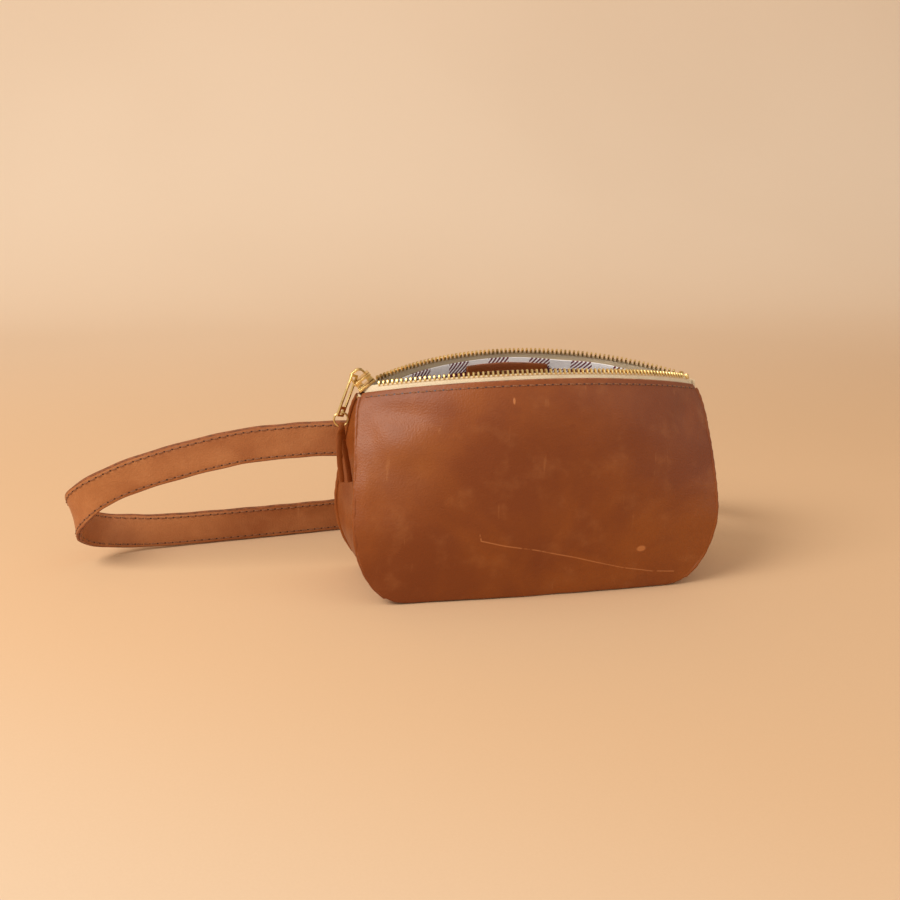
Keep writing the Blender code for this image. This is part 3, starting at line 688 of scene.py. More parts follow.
def stitches_into(bm, path, normal_at, cfg):
    """Sewn thread along a path: each stitch rises from one hole and dips into the next; a dark cone
    between stitches is painted shade in the hole.
    """
    half, size = cfg.stitch / 2, cfg.thread / 2
    for spot, way in even_points(path, cfg.pitch):
        out = normal_at(spot)
        across = way.cross(out).normalized()
        tilt = (way + across * 0.10).normalized()
        centres, radii = [], []
        for k in range(7):
            t = -1 + k / 3
            lift = size * 1.15 * (1 - t ** 4) - size * 0.75
            centres.append(spot + tilt * half * t + out * lift)
            radii.append(size * (1.0 - 0.35 * t ** 4))
        tube_into(bm, centres, radii, 6, up=out)
        # Painted shade: a dark cone with a low cap on the surface stands for the shade inside the
        # stitch hole.
        hole = spot + way * cfg.pitch / 2 + out * 0.00005
        ring = []
        for k in range(8):
            a = math.pi * k / 4
            rim = way * math.cos(a) * 1.35 + across * math.sin(a)
            ring.append(bm.verts.new(hole + rim * size * 1.25))
        crown = bm.verts.new(hole + out * 0.00006)
        root = bm.verts.new(hole - out * 0.0006)
        for one, two in zip(ring, ring[1:] + ring[:1]):
            for tip in (crown, root):
                bm.faces.new((one, two, tip)).material_index = 1
    return bm


# ---------------------------------------------------------------- the frame's surfaces
def closed_point(turn, lateral, radial):
    reach = ARC_R + radial
    return ARC_CENTRE + Vector((reach * math.sin(turn), lateral, reach * math.cos(turn)))


def lay_open(point, side):
    spin = Matrix.Rotation(-side * LIP_TILT, 3, "X")
    return ZIP_AXIS + spin @ (point - ZIP_AXIS)


def seam_half_depth(z):
    rise = min(max((z - 0.035) / (TOP_Z - 0.035), 0), 1)
    return TOP_DEPTH + (BASE_DEPTH - TOP_DEPTH) * (1 - rise ** 1.6)


def widen(z, share):
    return BACK_WIDER * share * (1 - z / TOP_Z)


def outline_half(z, inset):
    """Half width of the front panel at height z."""
    if z < CORNER_TALL:
        share = (CORNER_TALL - z) / (CORNER_TALL - inset)
        return BASE_HALF + (CORNER_WIDE - inset) * math.sqrt(max(1 - share ** 2, 0))
    rise = min((z - CORNER_TALL) / (TOP_Z - CORNER_TALL), 1)
    widest = BASE_HALF + CORNER_WIDE
    taper = widest - ARC_R * math.sin(ARC_END) - 0.0013 - SHOULDER
    return widest - taper * rise ** 1.2 - SHOULDER * rise ** 14 - inset


def heights(inset, corner_steps=18, side_steps=44):
    """Heights of a panel's rows, closer together round the corner and at the top."""
    out = [inset]
    out += [CORNER_TALL - (CORNER_TALL - inset) * math.cos(math.radians(10 + 80 * k / corner_steps))
            for k in range(corner_steps)]
    for k in range(side_steps + 1):
        t = k / side_steps
        out.append(CORNER_TALL + (TOP_Z - CORNER_TALL) * (1 - (1 - t) ** 1.25))
    return out


def panel_point(side, u, z, bulge, lateral=EDGE_SETBACK, inset=0.0, top_reach=1.0, wider=1.0):
    """Point of the front (side -1) or back (side 1) panel's outer surface, u from -1 to 1."""
    top_mid = lay_open(closed_point(0, side * lateral, EDGE_RISE), side)
    top_end = lay_open(closed_point(ARC_END, side * lateral, EDGE_RISE), side)
    level = z / TOP_Z
    rise = level ** 2.2
    middle = BASE_DEPTH + 0.0015 + (abs(top_mid.y) - BASE_DEPTH - 0.0015) * level
    middle += bulge * math.sin(math.pi * level ** 0.85)
    middle += LIP_FLARE * math.sin(math.pi * level ** 4)
    end_y = seam_half_depth(z) + (abs(top_end.y) - TOP_DEPTH) * rise
    u = u * (1 - (1 - top_reach) * rise)
    arc = (math.cos(u * ARC_END) - math.cos(ARC_END)) / (1 - math.cos(ARC_END))
    plump = (1 - rise) * (1 - abs(u) ** 2.6) + rise * arc
    half = outline_half(z, inset) + widen(z, wider if side > 0 else 0)
    x = half * ((1 - rise) * u + rise * math.sin(u * ARC_END) / math.sin(ARC_END))
    lift = (top_mid.z - top_end.z) * arc * rise
    return Vector((x, side * (end_y + (middle - end_y) * plump),
                   z + (top_end.z - TOP_Z) * rise + lift))


def panel_rows(side, bulge, columns=110, **shape):
    return [[panel_point(side, 2 * k / columns - 1, z, bulge, **shape) for k in range(columns + 1)]
            for z in heights(shape.get("inset", 0.0))]


def bump_at(p, centre, size):
    """Soft round bump of height 1 in x and z."""
    return math.exp(-((p.x - centre[0]) / size[0]) ** 2 - ((p.z - centre[1]) / size[1]) ** 2)


DENTS = {
    -1: ((-0.0022, (0.083, 0.101), (0.008, 0.011)), (0.0011, (0.096, 0.098), (0.006, 0.008)),
         (0.0022, (-0.076, 0.087), (0.015, 0.010)), (-0.0018, (-0.078, 0.104), (0.018, 0.006)),
         (-0.0012, (-0.094, 0.092), (0.005, 0.011)), (0.0012, (-0.097, 0.066), (0.004, 0.018)),
         (-0.0005, (0.030, 0.012), (0.045, 0.006)), (0.0007, (-0.030, 0.030), (0.040, 0.012))),
    1: ((-0.0020, (0.02, 0.07), (0.05, 0.022)),)}


def leather_relief(p, side, level, u):
    """How far used leather stands out of its smooth shape."""
    quiet = 1 - level ** 6
    rim = min(1.0, (1 - abs(u)) * 9)
    out = 0.0011 * noise.noise(p * 19 + Vector((3, side, 0)))
    out += 0.00035 * noise.noise(p * 58)
    out += 0.00045 * math.sin(p.z * 330 + 9 * p.x) * math.exp(-(1 - abs(u)) * 16)
    for height, centre, size in DENTS[side]:
        out += height * bump_at(p, centre, size)
    return out * quiet * (0.35 + 0.65 * rim)


def relieved(rows, side, reliefs):
    """Move a panel's grid out by its relief."""
    normals = grid_normals(rows)
    sign = -facing(rows, normals, MIDDLE)
    wide = len(rows[0]) - 1
    return [[p + n * sign * reliefs(p, side, i / (len(rows) - 1), 2 * j / wide - 1)
             for j, (p, n) in enumerate(zip(row, line))]
            for i, (row, line) in enumerate(zip(rows, normals))]


def gusset_rows(margin, inset, top, columns=24, steps=60):
    """Outer surface of the strip round the sides and bottom."""
    rows_at = [z for z in heights(inset, 14, steps) if z < top]
    outline = [(outline_half(z, inset), z) for z in rows_at]
    floor = [(BASE_HALF * (2 * k / 24 - 1), inset) for k in range(1, 24)]
    path = [(-x, z) for x, z in reversed(outline)] + floor + outline
    rows = []
    for x, z in path:
        full = seam_half_depth(z)
        sink = GUSSET_DENT * math.sin(math.pi * min(max((z - 0.03) / 0.085, 0), 1))
        row = []
        for k in range(columns + 1):
            y = (2 * k / columns - 1) * (full - margin)
            dent = sink * (1 - (y / full) ** 2) ** 1.6 - widen(z, (y / full + 1) / 2)
            crease = 0.0008 * noise.noise(Vector((x, y, z)) * 45) * (1 - (y / full) ** 2)
            shift = dent + (crease if z > 0.006 else 0.0)
            if abs(x) < BASE_HALF * 0.999:
                shift *= abs(x) / BASE_HALF
            row.append(Vector((x - math.copysign(1, x) * shift, y, z)))
        rows.append(row)
    return rows


# ---------------------------------------------------------------- the pieces
def make_panel(side, bulge):
    cfg = bpy.context.scene.pack_sewing
    rows = panel_rows(side, bulge, inset=SEAM_INSET)
    rows = relieved(rows, side, leather_relief)
    bm = sheet_mesh(rows, 0, LEATHER, looks=(0, 1, 2), rim_steps=6)
    name = SIDE_NAME[side] + "_panel"
    looks = ("pull_up_leather", *HIDE_LOOKS[1:]) if side < 0 else HIDE_LOOKS
    made = put_object(name + "_leather", bm, looks, nodes=(name,))
    lip_blend(made)
    normals = grid_normals(rows)
    sign = -facing(rows, normals, MIDDLE)
    path, outward = [], []
    for j in range(1, len(rows[0]) - 1):
        gone, i = 0.0, len(rows) - 1
        while gone < cfg.edge and i > 0:
            gone += (rows[i][j] - rows[i - 1][j]).length
            i -= 1
        step = rows[i + 1][j] - rows[i][j]
        path.append(rows[i][j] + step * ((gone - cfg.edge) / step.length))
        outward.append(normals[i][j] * sign)
    bm = stitches_into(bmesh.new(), path, nearest(path, outward), cfg)
    row = put_object(SIDE_NAME[side] + "_edge_stitches", bm, SEWING_LOOKS)
    lip_blend(row)


def make_welts():
    """Rolled seams where the panels meet the side strip."""
    for side, bulge in PANELS:
        zs = [z for z in heights(SEAM_INSET, 20, 44) if z < 0.1085]
        right = [panel_point(side, 1, z, bulge, inset=SEAM_INSET) for z in zs]
        left = [panel_point(side, -1, z, bulge, inset=SEAM_INSET) for z in reversed(zs)]
        floor = [Vector((BASE_HALF * (2 * k / 20 - 1), right[0].y, right[0].z))
                 for k in range(1, 20)]
        path = left + floor + right
        path = [p + Vector((0, -side * 0.0010, 0.0009 if p.z < 0.004 else 0)) for p in path]
        radii = [0.00125 + 0.00012 * math.sin(i * 1.9) for i in range(len(path))]
        bm = tube_into(bmesh.new(), path, radii, 12, up=Vector((0, 1, 0)))
        lip_blend(put_object(SIDE_NAME[side] + "_seam_welt", bm, ("side_leather",)))


def make_gusset():
    rows = gusset_rows(LEATHER + GAP, SEAM_INSET, TOP_Z - 0.004)
    bm = sheet_mesh(rows, 0, LEATHER, looks=(0, 1, 2))
    put_object("side_and_bottom_leather", bm, HIDE_LOOKS, "root", ("gusset",))


def cloth_relief(p, side, level, u):
    """Slack cloth: soft folds that die out at the sewn edges."""
    quiet = (1 - level ** 8) * min(1.0, (1 - abs(u)) * 6)
    folds = 0.0011 * math.sin(34 * p.x + 2.2 * noise.noise(p * 16) + 1.3 * side)
    under = min(0.0, leather_relief(p, side, level, u))
    return (folds + 0.0009 * noise.noise(p * 30) - 0.0016) * quiet + under


def make_lining():
    cfg = bpy.context.scene.pack_lining
    for side, bulge in PANELS:
        inset = LEATHER + 4 * GAP
        rows = panel_rows(side, bulge, columns=cfg.columns, lateral=LINING_SETBACK, inset=inset,
                          top_reach=0.93, wider=0.3)
        rows = relieved(rows, side, cloth_relief)
        bm = sheet_mesh(rows, LINING_DEPTH, LINING_DEPTH + LINING, rim_steps=2)
        node = "lining_" + SIDE_NAME[side]
        made = put_object(SIDE_NAME[side] + "_lining_cloth", bm, ("gingham_cotton",),
                          nodes=(node,))
        lip_blend(made)
    rows = gusset_rows(LINING_DEPTH + LINING + GAP, SEAM_INSET, TOP_Z - 0.016)
    bm = sheet_mesh(rows, LEATHER + 2 * GAP, LEATHER + 2 * GAP + LINING, rim_steps=2)
    made = put_object("side_lining_cloth", bm, ("gingham_cotton",), "root", ("lining_gusset",))


def make_pocket():
    """Slip pocket on the back lining."""
    low, high, left, wide, thick = 0.058, 0.1078, -0.0295, 0.0475, 0.0013
    rows = []
    for k in range(31):
        z = low + (high - low) * k / 30
        rows.append([panel_point(1, (left + wide * j / 28) / outline_half(z, 0), z, BACK_BULGE,
                                 lateral=LINING_SETBACK, inset=LEATHER + 2 * GAP)
                     for j in range(29)])

    def pocket_relief(p, side, level, u):
        return cloth_relief(p, 1, 0.5, 0.0) * (1 - level ** 8)

    rows = relieved(rows, 1, pocket_relief)
    depth = LINING_DEPTH + LINING + GAP + 0.0004
    bm = sheet_mesh(rows, depth, depth + thick, looks=(1, 0, 2))
    made = put_object("slip_pocket", bm, HIDE_LOOKS, nodes=("inner_pocket",))
    lip_blend(made)
    normals = grid_normals(rows)
    sign = facing(rows, normals, MIDDLE)
    cfg = bpy.context.scene.pack_sewing
    path = [rows[28][j] + normals[28][j] * sign * (depth + thick) for j in range(2, 27)]
    bm = stitches_into(bmesh.new(), path, lambda spot: normals[20][14] * sign, cfg)
    lip_blend(put_object("pocket_stitches", bm, SEWING_LOOKS))


def make_tapes():
    reach, columns = ARC_END * 0.992, 130
    turns = [reach * (2 * k / columns - 1) for k in range(columns + 1)]
    for side in (-1, 1):
        rows = [[lay_open(closed_point(turn, side * lateral, 0.0), side) for turn in turns]
                for lateral in (0.0024, 0.0032, 0.0040, 0.0048, 0.0055, 0.0062)]
        for drop in (0.0011, 0.0022):
            row = []
            for turn in turns:
                share = min(1.0, max(0.15, (ARC_END - abs(turn)) * 9))
                row.append(lay_open(closed_point(turn, side * (EDGE_SETBACK + drop * share),
                                                 -0.0001), side))
            rows.append(row)
        below = ZIP_AXIS + Vector((0, 0, -0.05))
        bm = sheet_mesh(rows, -0.0003, 0.0003, inside=below, rim_steps=2)
        bead = []
        for k in range(161):
            turn = CHAIN_START + (CHAIN_END - CHAIN_START) * k / 160
            bead.append(lay_open(closed_point(turn, side * 0.0029, 0), side))
        tube_into(bm, bead, 0.0006, 8)
        put_object(SIDE_NAME[side] + "_zip_tape_cloth", bm, ("cotton_tape",), LIP_BODY[side],
                   ("zip_tape_" + SIDE_NAME[side],))


def tooth_into(bm, side, turn, cfg):
    """One clamped brass tooth with its nib and legs."""
    half = cfg.tooth / 2
    profile = ((0.00012, 0.00055, 0.62), (0.00045, 0.00088, 0.86), (0.00085, 0.00108, 1.0),
               (0.00205, 0.00110, 1.0), (0.00275, 0.00102, 0.90), (0.00305, 0.00080, 0.72))
    rings = []
    for lateral, tall, wide in profile:
        ring = []
        for a, b in ((-1, -0.62), (-0.7, -1), (0.7, -1), (1, -0.62),
                     (1, 0.62), (0.7, 1), (-0.7, 1), (-1, 0.62)):
            spot = closed_point(turn + a * half * wide / ARC_R, side * lateral, b * tall)
            ring.append(lay_open(spot, side))
        rings.append(ring)
    skin_rings(bm, rings)


def make_teeth():
    cfg = bpy.context.scene.pack_zip
    for side in (-1, 1):
        bm = bmesh.new()
        step = cfg.pitch / ARC_R
        count = int((CHAIN_END - CHAIN_START) / step)
        for k in range(count):
            tooth_into(bm, side, CHAIN_START + (k + (0.25 if side < 0 else 0.75)) * step, cfg)
        put_object(SIDE_NAME[side] + "_zip_teeth", bm, ("aged_brass",), LIP_BODY[side],
                   ("zip_chain_" + SIDE_NAME[side],), smooth=32)


def bevelled_copy(node, name, look, body, width, turn=None):
    """Piece in the shape of a frame node, with rounded edges."""
    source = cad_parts[node]
    bm = bmesh.new()
    bm.from_mesh(source.data)
    bmesh.ops.remove_doubles(bm, verts=bm.verts, dist=1e-6)
    bmesh.ops.dissolve_limit(bm, angle_limit=math.radians(2), verts=bm.verts, edges=bm.edges)
    sharp = [e for e in bm.edges if len(e.link_faces) == 2 and e.calc_face_angle(0) > 0.5]
    bmesh.ops.bevel(bm, geom=sharp, offset=width, segments=3, profile=0.5,
                    affect="EDGES", clamp_overlap=True)
    if turn:
        bmesh.ops.transform(bm, matrix=turn, verts=bm.verts)
    return put_object(name, bm, (look,), body, (node,))


def make_zip_hardware():
    for node, name, body, width in (
            ("slider_body", "slider_plates", "slider", 0.00035),
            ("slider_bridge", "slider_bridge_brass", "slider", 0.00035),
            ("top_stop_front", "front_top_stop", "front_lip", 0.0004),
            ("top_stop_back", "back_top_stop", "back_lip", 0.0004),
            ("bottom_stop", "bottom_stop_brass", "root", 0.00012)):
        bevelled_copy(node, name, "aged_brass", body, width)
    for node in ("zip_end_left", "zip_end_right"):
        bevelled_copy(node, node + "_cloth", "cotton_tape", "root", 0.0003)


def squared(a, flat, tall):
    """Point at angle a on a circle that is squared off by two powers."""
    return (math.copysign(abs(math.cos(a)) ** flat, math.cos(a)),
            math.copysign(abs(math.sin(a)) ** tall, math.sin(a)))


def make_pull():
    """Tab, wire ring and a folded lace hanging from it."""
    low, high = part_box("pull_ring")
    centre = (low + high) / 2
    hinge = Vector(PULL_HINGE)
    way = (Vector((centre.x, 0, high.z)) - hinge).normalized()
    twist = Matrix.Rotation(TAB_TWIST, 4, way)
    twist = Matrix.Translation(hinge) @ twist @ Matrix.Translation(-hinge)
    bevelled_copy("pull_tab", "pull_tab_brass", "aged_brass", "pull_tab", 0.00028, turn=twist)
    circle = [centre + RING_R * Vector((math.sin(a), 0, math.cos(a)))
              for a in (2 * math.pi * k / 64 for k in range(64))]
    bm = tube_into(bmesh.new(), circle, RING_WIRE, 14, True, Vector((0, 1, 0)))
    put_object("pull_ring_wire", bm, ("aged_brass",), "pull_ring", ("pull_ring",))

    top = Vector((centre.x, 0, centre.z - RING_R))
    front = [(-0.0010, -0.0008, -0.0040), (-0.0014, -0.0016, -0.0100),
             (-0.0013, -0.0026, -0.0180), (-0.0006, -0.0036, -0.0255), (-0.0004, -0.0042, -0.0300)]
    back = [(0.0006, 0.0012, -0.0010), (0.0012, 0.0022, -0.0080), (0.0026, 0.0026, -0.0160),
            (0.0040, 0.0030, -0.0240), (0.0050, 0.0028, -0.0322)]
    arch = [(0.0, -0.0016, -0.0006), (0.0, -0.0011, 0.0008), (0.0, 0.0, 0.0014),
            (0.0, 0.0011, 0.0008)]
    path = [top + Vector(p) for p in front[::-1] + arch + back]
    path = smooth_curve(path, 0.0011)
    rings = []
    half, thick = 0.00155, 0.00062
    for i, spot in enumerate(path):
        along = (path[min(i + 1, len(path) - 1)] - path[max(i - 1, 0)]).normalized()
        wide = Vector((1, 0.25, 0))
        wide = (wide - along * wide.dot(along)).normalized()
        face = along.cross(wide)
        size = 1 + 0.04 * math.sin(i * 0.9)
        ring = []
        for k in range(12):
            across, through = squared(2 * math.pi * k / 12, 0.5, 0.7)
            ring.append(spot + wide * half * size * across + face * thick * through)
        rings.append(ring)
    bm = bmesh.new()
    skin_rings(bm, rings)
    put_object("pull_lace", bm, ("lace_leather",), "pull_thong", ("pull_thong",))


# ---------------------------------------------------------------- the strap
def strap_lean(centre):
    return math.radians(14) * math.exp(-((centre.x + 0.247) / 0.03) ** 2)


def ribbon_frames(centres, lean=None):
    last = len(centres) - 1
    frames = []
    for i, centre in enumerate(centres):
        along = (centres[min(i + 1, last)] - centres[max(i - 1, 0)]).normalized()
        up = (UP - along * UP.dot(along)).normalized()
        side = along.cross(up)
        if lean:
            up = (up - side * math.tan(lean(centre))).normalized()
            side = along.cross(up)
        frames.append((up, side))
    return frames


def refined(centres, frames, parts):
    """The frame's strap line with extra stations between its own."""
    out_c, out_f = [], []
    knots = [centres[0] * 2 - centres[1]] + centres + [centres[-1] * 2 - centres[-2]]
    for i in range(len(centres) - 1):
        a, b, c, d = knots[i:i + 4]
        for k in range(parts):
            t = k / parts
            out_c.append(0.5 * (2 * b + (c - a) * t + (2 * a - 5 * b + 4 * c - d) * t * t
                                + (3 * b - a - 3 * c + d) * t ** 3))
            up = frames[i][0].lerp(frames[i + 1][0], t).normalized()
            side = frames[i][1].lerp(frames[i + 1][1], t).normalized()
            out_f.append((up, side))
    return out_c + [centres[-1]], out_f + [frames[-1]]


def ply_mesh(centres, frames, low, high, flesh_low):
    """One strap layer with softly rounded edges; the face at one offset is the flesh side."""
    soft = (high - low) * 0.42
    bm = bmesh.new()
    rings = []
    for i, (centre, (up, side)) in enumerate(zip(centres, frames)):
        wave = 0.00012 * math.sin(i * 0.7)
        half = STRAP_WIDTH / 2 + wave
        mid = (low + high) / 2
        shape = [(-half + soft, low), (-half + soft * 0.3, low + soft * 0.3), (-half, mid),
                 (-half + soft * 0.3, high - soft * 0.3), (-half + soft, high), (-half * 0.5, high),
                 (0.0, high), (half * 0.5, high),
                 (half - soft, high), (half - soft * 0.3, high - soft * 0.3), (half, mid),
                 (half - soft * 0.3, low + soft * 0.3), (half - soft, low), (half * 0.5, low),
                 (0.0, low), (-half * 0.5, low)]
        rings.append([centre + up * a + side * b for a, b in shape])
    rows = skin_rings(bm, rings)
    bm.faces.ensure_lookup_table()
    count = len(rows[0])
    edge = {0, 1, 2, 3, 8, 9, 10, 11}
    inner = {12, 13, 14, 15} if flesh_low else {4, 5, 6, 7}
    for index, face in enumerate(bm.faces):
        if index >= (len(rows) - 1) * count:
            face.material_index = 2
            continue
        column = index % count
        face.material_index = 2 if column in edge else 1 if column in inner else 0
    return bm


def cut_holes(made, cutters):
    """Punch the closed shapes in a bmesh out of an object."""
    bmesh.ops.recalc_face_normals(cutters, faces=cutters.faces)
    mesh = bpy.data.meshes.new("punch")
    cutters.to_mesh(mesh)
    cutters.free()
    tool = bpy.data.objects.new("punch", mesh)
    bpy.context.scene.collection.objects.link(tool)
    step = made.modifiers.new("punch", "BOOLEAN")
    step.object = tool
    step.operation = "DIFFERENCE"
    step.solver = "EXACT"
    bpy.context.view_layer.update()
    punched = made.evaluated_get(bpy.context.evaluated_depsgraph_get())
    ready = bpy.data.meshes.new_from_object(punched)
    made.modifiers.clear()
    made.data = ready
    bpy.data.objects.remove(tool)


def slot_into(bm, low_x, high_x, y):
    """Round-ended punch through the strap."""
    rings = []
    for depth in (-0.008, 0.008):
        ring = []
        for k in range(24):
            a = 2 * math.pi * k / 24
            end = high_x - HOLE_R if math.cos(a) >= 0 else low_x + HOLE_R
            ring.append(Vector((end + HOLE_R * math.cos(a), y + depth,
                                BUCKLE_Z + HOLE_R * math.sin(a))))
        rings.append(ring)
    skin_rings(bm, rings)
    return bm


def strap_sewing(name, centres, frames, offset, cfg):
    """Two rows of stitches along a strap face."""
    bm = bmesh.new()
    for edge in (-1, 1):
        path = [centre + up * edge * (STRAP_WIDTH / 2 - cfg.strap_edge) + side * offset
                for centre, (up, side) in zip(centres, frames)]
        outward = [side * math.copysign(1, offset) for up, side in frames]
        stitches_into(bm, path, nearest(path, outward), cfg)
    put_object(name, bm, SEWING_LOOKS, "root")


def make_straps():
    cfg = bpy.context.scene.pack_sewing
    base = smooth_curve(LONG_ROUTE, STRAP_STEP)
    centres, frames = refined(base, ribbon_frames(base, strap_lean), 4)
    for where, low in (("outer", -PLY - PLY_GAP), ("inner", PLY_GAP)):
        span = (low, low + PLY + PLY_GAP) if low < 0 else (low - PLY_GAP, low + PLY)
        made = put_object("long_strap_" + where + "_ply",
                          ply_mesh(centres, frames, *span, where == "inner"),
                          STRAP_LOOKS, "root", ("strap_long_" + where,))
        punches = slot_into(bmesh.new(), 0.0220, 0.0330, STRAP_Y)
        for k in (-2, -1, 1, 2):
            middle = HOLE_X + k * HOLE_STEP
            slot_into(punches, middle - HOLE_R, middle + HOLE_R, STRAP_Y)
        cut_holes(made, punches)
    face = PLY + PLY_GAP
    strap_sewing("long_strap_outer_stitches", centres, frames, -face, cfg)
    strap_sewing("long_strap_inner_stitches", centres, frames, face, cfg)

    base = smooth_curve(SHORT_ROUTE, STRAP_STEP)
    plain = ribbon_frames(base)
    offset = PLY_GAP + PLY / 2
    bend = WIRE_R + 0.0003 + PLY / 2
    fold = [Vector((0.0500, FRAME_Y - offset, BUCKLE_Z)),
            Vector((0.0460, FRAME_Y - offset - 0.0003, BUCKLE_Z)),
            Vector((0.0400, FRAME_Y - 0.0020, BUCKLE_Z))]
    fold += [Vector((BAR_X - bend * math.sin(a), FRAME_Y - bend * math.cos(a), BUCKLE_Z))
             for a in (math.pi * k / 8 for k in range(9))]
    fold += [Vector((0.0400, FRAME_Y + 0.0020, BUCKLE_Z)),
             Vector((0.0460, FRAME_Y + offset + 0.0003, BUCKLE_Z))]
    turned = len(fold)
    fold += [c - side * offset for c, (up, side) in zip(base, plain)]
    around = ribbon_frames(fold)[:turned] + plain
    centres, frames = refined(fold, around, 3)
    half = PLY / 2
    made = put_object("short_strap_outer_ply",
                      ply_mesh(centres, frames, -half, half + PLY_GAP, False),
                      STRAP_LOOKS, "root", ("strap_short_outer",))
    cut_holes(made, slot_into(bmesh.new(), 0.0305, 0.0386, FRAME_Y))
    sewn = [(c, f) for c, f in zip(centres, frames) if c.x > 0.0530 and c.y < FRAME_Y + 0.004][3:]
    strap_sewing("short_strap_outer_stitches", [c for c, f in sewn], [f for c, f in sewn],
                 -half, cfg)
    centres, frames = refined(base, plain, 3)
    put_object("short_strap_inner_ply", ply_mesh(centres, frames, 0, PLY_GAP + PLY, True),
               STRAP_LOOKS, "root", ("strap_short_inner",))
    strap_sewing("short_strap_inner_stitches", centres, frames, face, cfg)


def make_buckle():
    reach = STRAP_WIDTH / 2 + 0.0006 + WIRE_R
    path = []
    for cx, cz, start in ((BAR_X, reach, 0), (FRONT_BAR_X, reach, 90),
                          (FRONT_BAR_X, -reach, 180), (BAR_X, -reach, 270)):
        bend = 0.0022 if cx == FRONT_BAR_X else 0.0015
        mx = cx - math.copysign(bend, cx - (BAR_X + FRONT_BAR_X) / 2)
        mz = BUCKLE_Z + cz - math.copysign(bend, cz)
        for k in range(9):
            a = math.radians(start + 90 * k / 8)
            path.append(Vector((mx + bend * math.cos(a), FRAME_Y, mz + bend * math.sin(a))))
    bm = tube_into(bmesh.new(), path, WIRE_R, 20, True, Vector((0, 1, 0)))
    put_object("buckle_wire_frame", bm, ("aged_brass",), "root", ("buckle_frame",))

    pivot = Vector((BAR_X, FRAME_Y, BUCKLE_Z))
    bm = bmesh.new()
    rings = []
    for k in range(32):
        a = 2 * math.pi * k / 32
        way = Vector((math.cos(a), math.sin(a), 0))
        ring = []
        for m in range(8):
            b = 2 * math.pi * m / 8 + math.pi / 8
            ring.append(pivot + way * (0.0024 + 0.00062 * math.cos(b)) + UP * 0.0014 * math.sin(b))
        rings.append(ring)
    skin_rings(bm, rings, closed=True)
    tongue = [(0.0326, 0.0008), (0.0300, 0.0015), (0.0270, 0.0021), (0.0230, 0.0026),
              (0.0190, 0.0029), (0.0140, 0.0029), (0.0118, 0.0026)]
    route = smooth_curve([(x, FRAME_Y + y, BUCKLE_Z) for x, y in tongue], 0.0009)
    radii = [0.00095 * min(1.0, 0.55 + 0.15 * (len(route) - 1 - i)) for i in range(len(route))]
    tube_into(bm, route, radii, 14)
    put_object("buckle_prong_brass", bm, ("aged_brass",), "prong", ("buckle_prong",))


def make_keeper():
    """Sewn leather loop that holds the strap's tail."""
    low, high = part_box("keeper_loop")
    mid = (low + high) / 2
    thick = 0.0014
    half_y, half_z = (high.y - low.y) / 2 - thick / 2, (high.z - low.z) / 2 - thick / 2
    half_x = (high.x - low.x) / 2
    corner = 0.0016
    path = []
    for sy, sz, start in ((1, 1, 0), (-1, 1, 90), (-1, -1, 180), (1, -1, 270)):
        for k in range(7):
            a = math.radians(start + 90 * k / 6)
            path.append((Vector((mid.x, mid.y + sy * (half_y - corner) + corner * math.cos(a),
                                 mid.z + sz * (half_z - corner) + corner * math.sin(a))),
                         Vector((0, math.cos(a), math.sin(a)))))
    bm = bmesh.new()
    rings = []
    for spot, out in path:
        ring = []
        for k in range(12):
            across, through = squared(2 * math.pi * k / 12, 0.35, 0.6)
            ring.append(spot + Vector((half_x, 0, 0)) * across + out * thick / 2 * through)
        rings.append(ring)
    skin_rings(bm, rings, closed=True)
    put_object("keeper_loop_leather", bm, ("strap_leather",), "keeper", ("keeper_loop",))


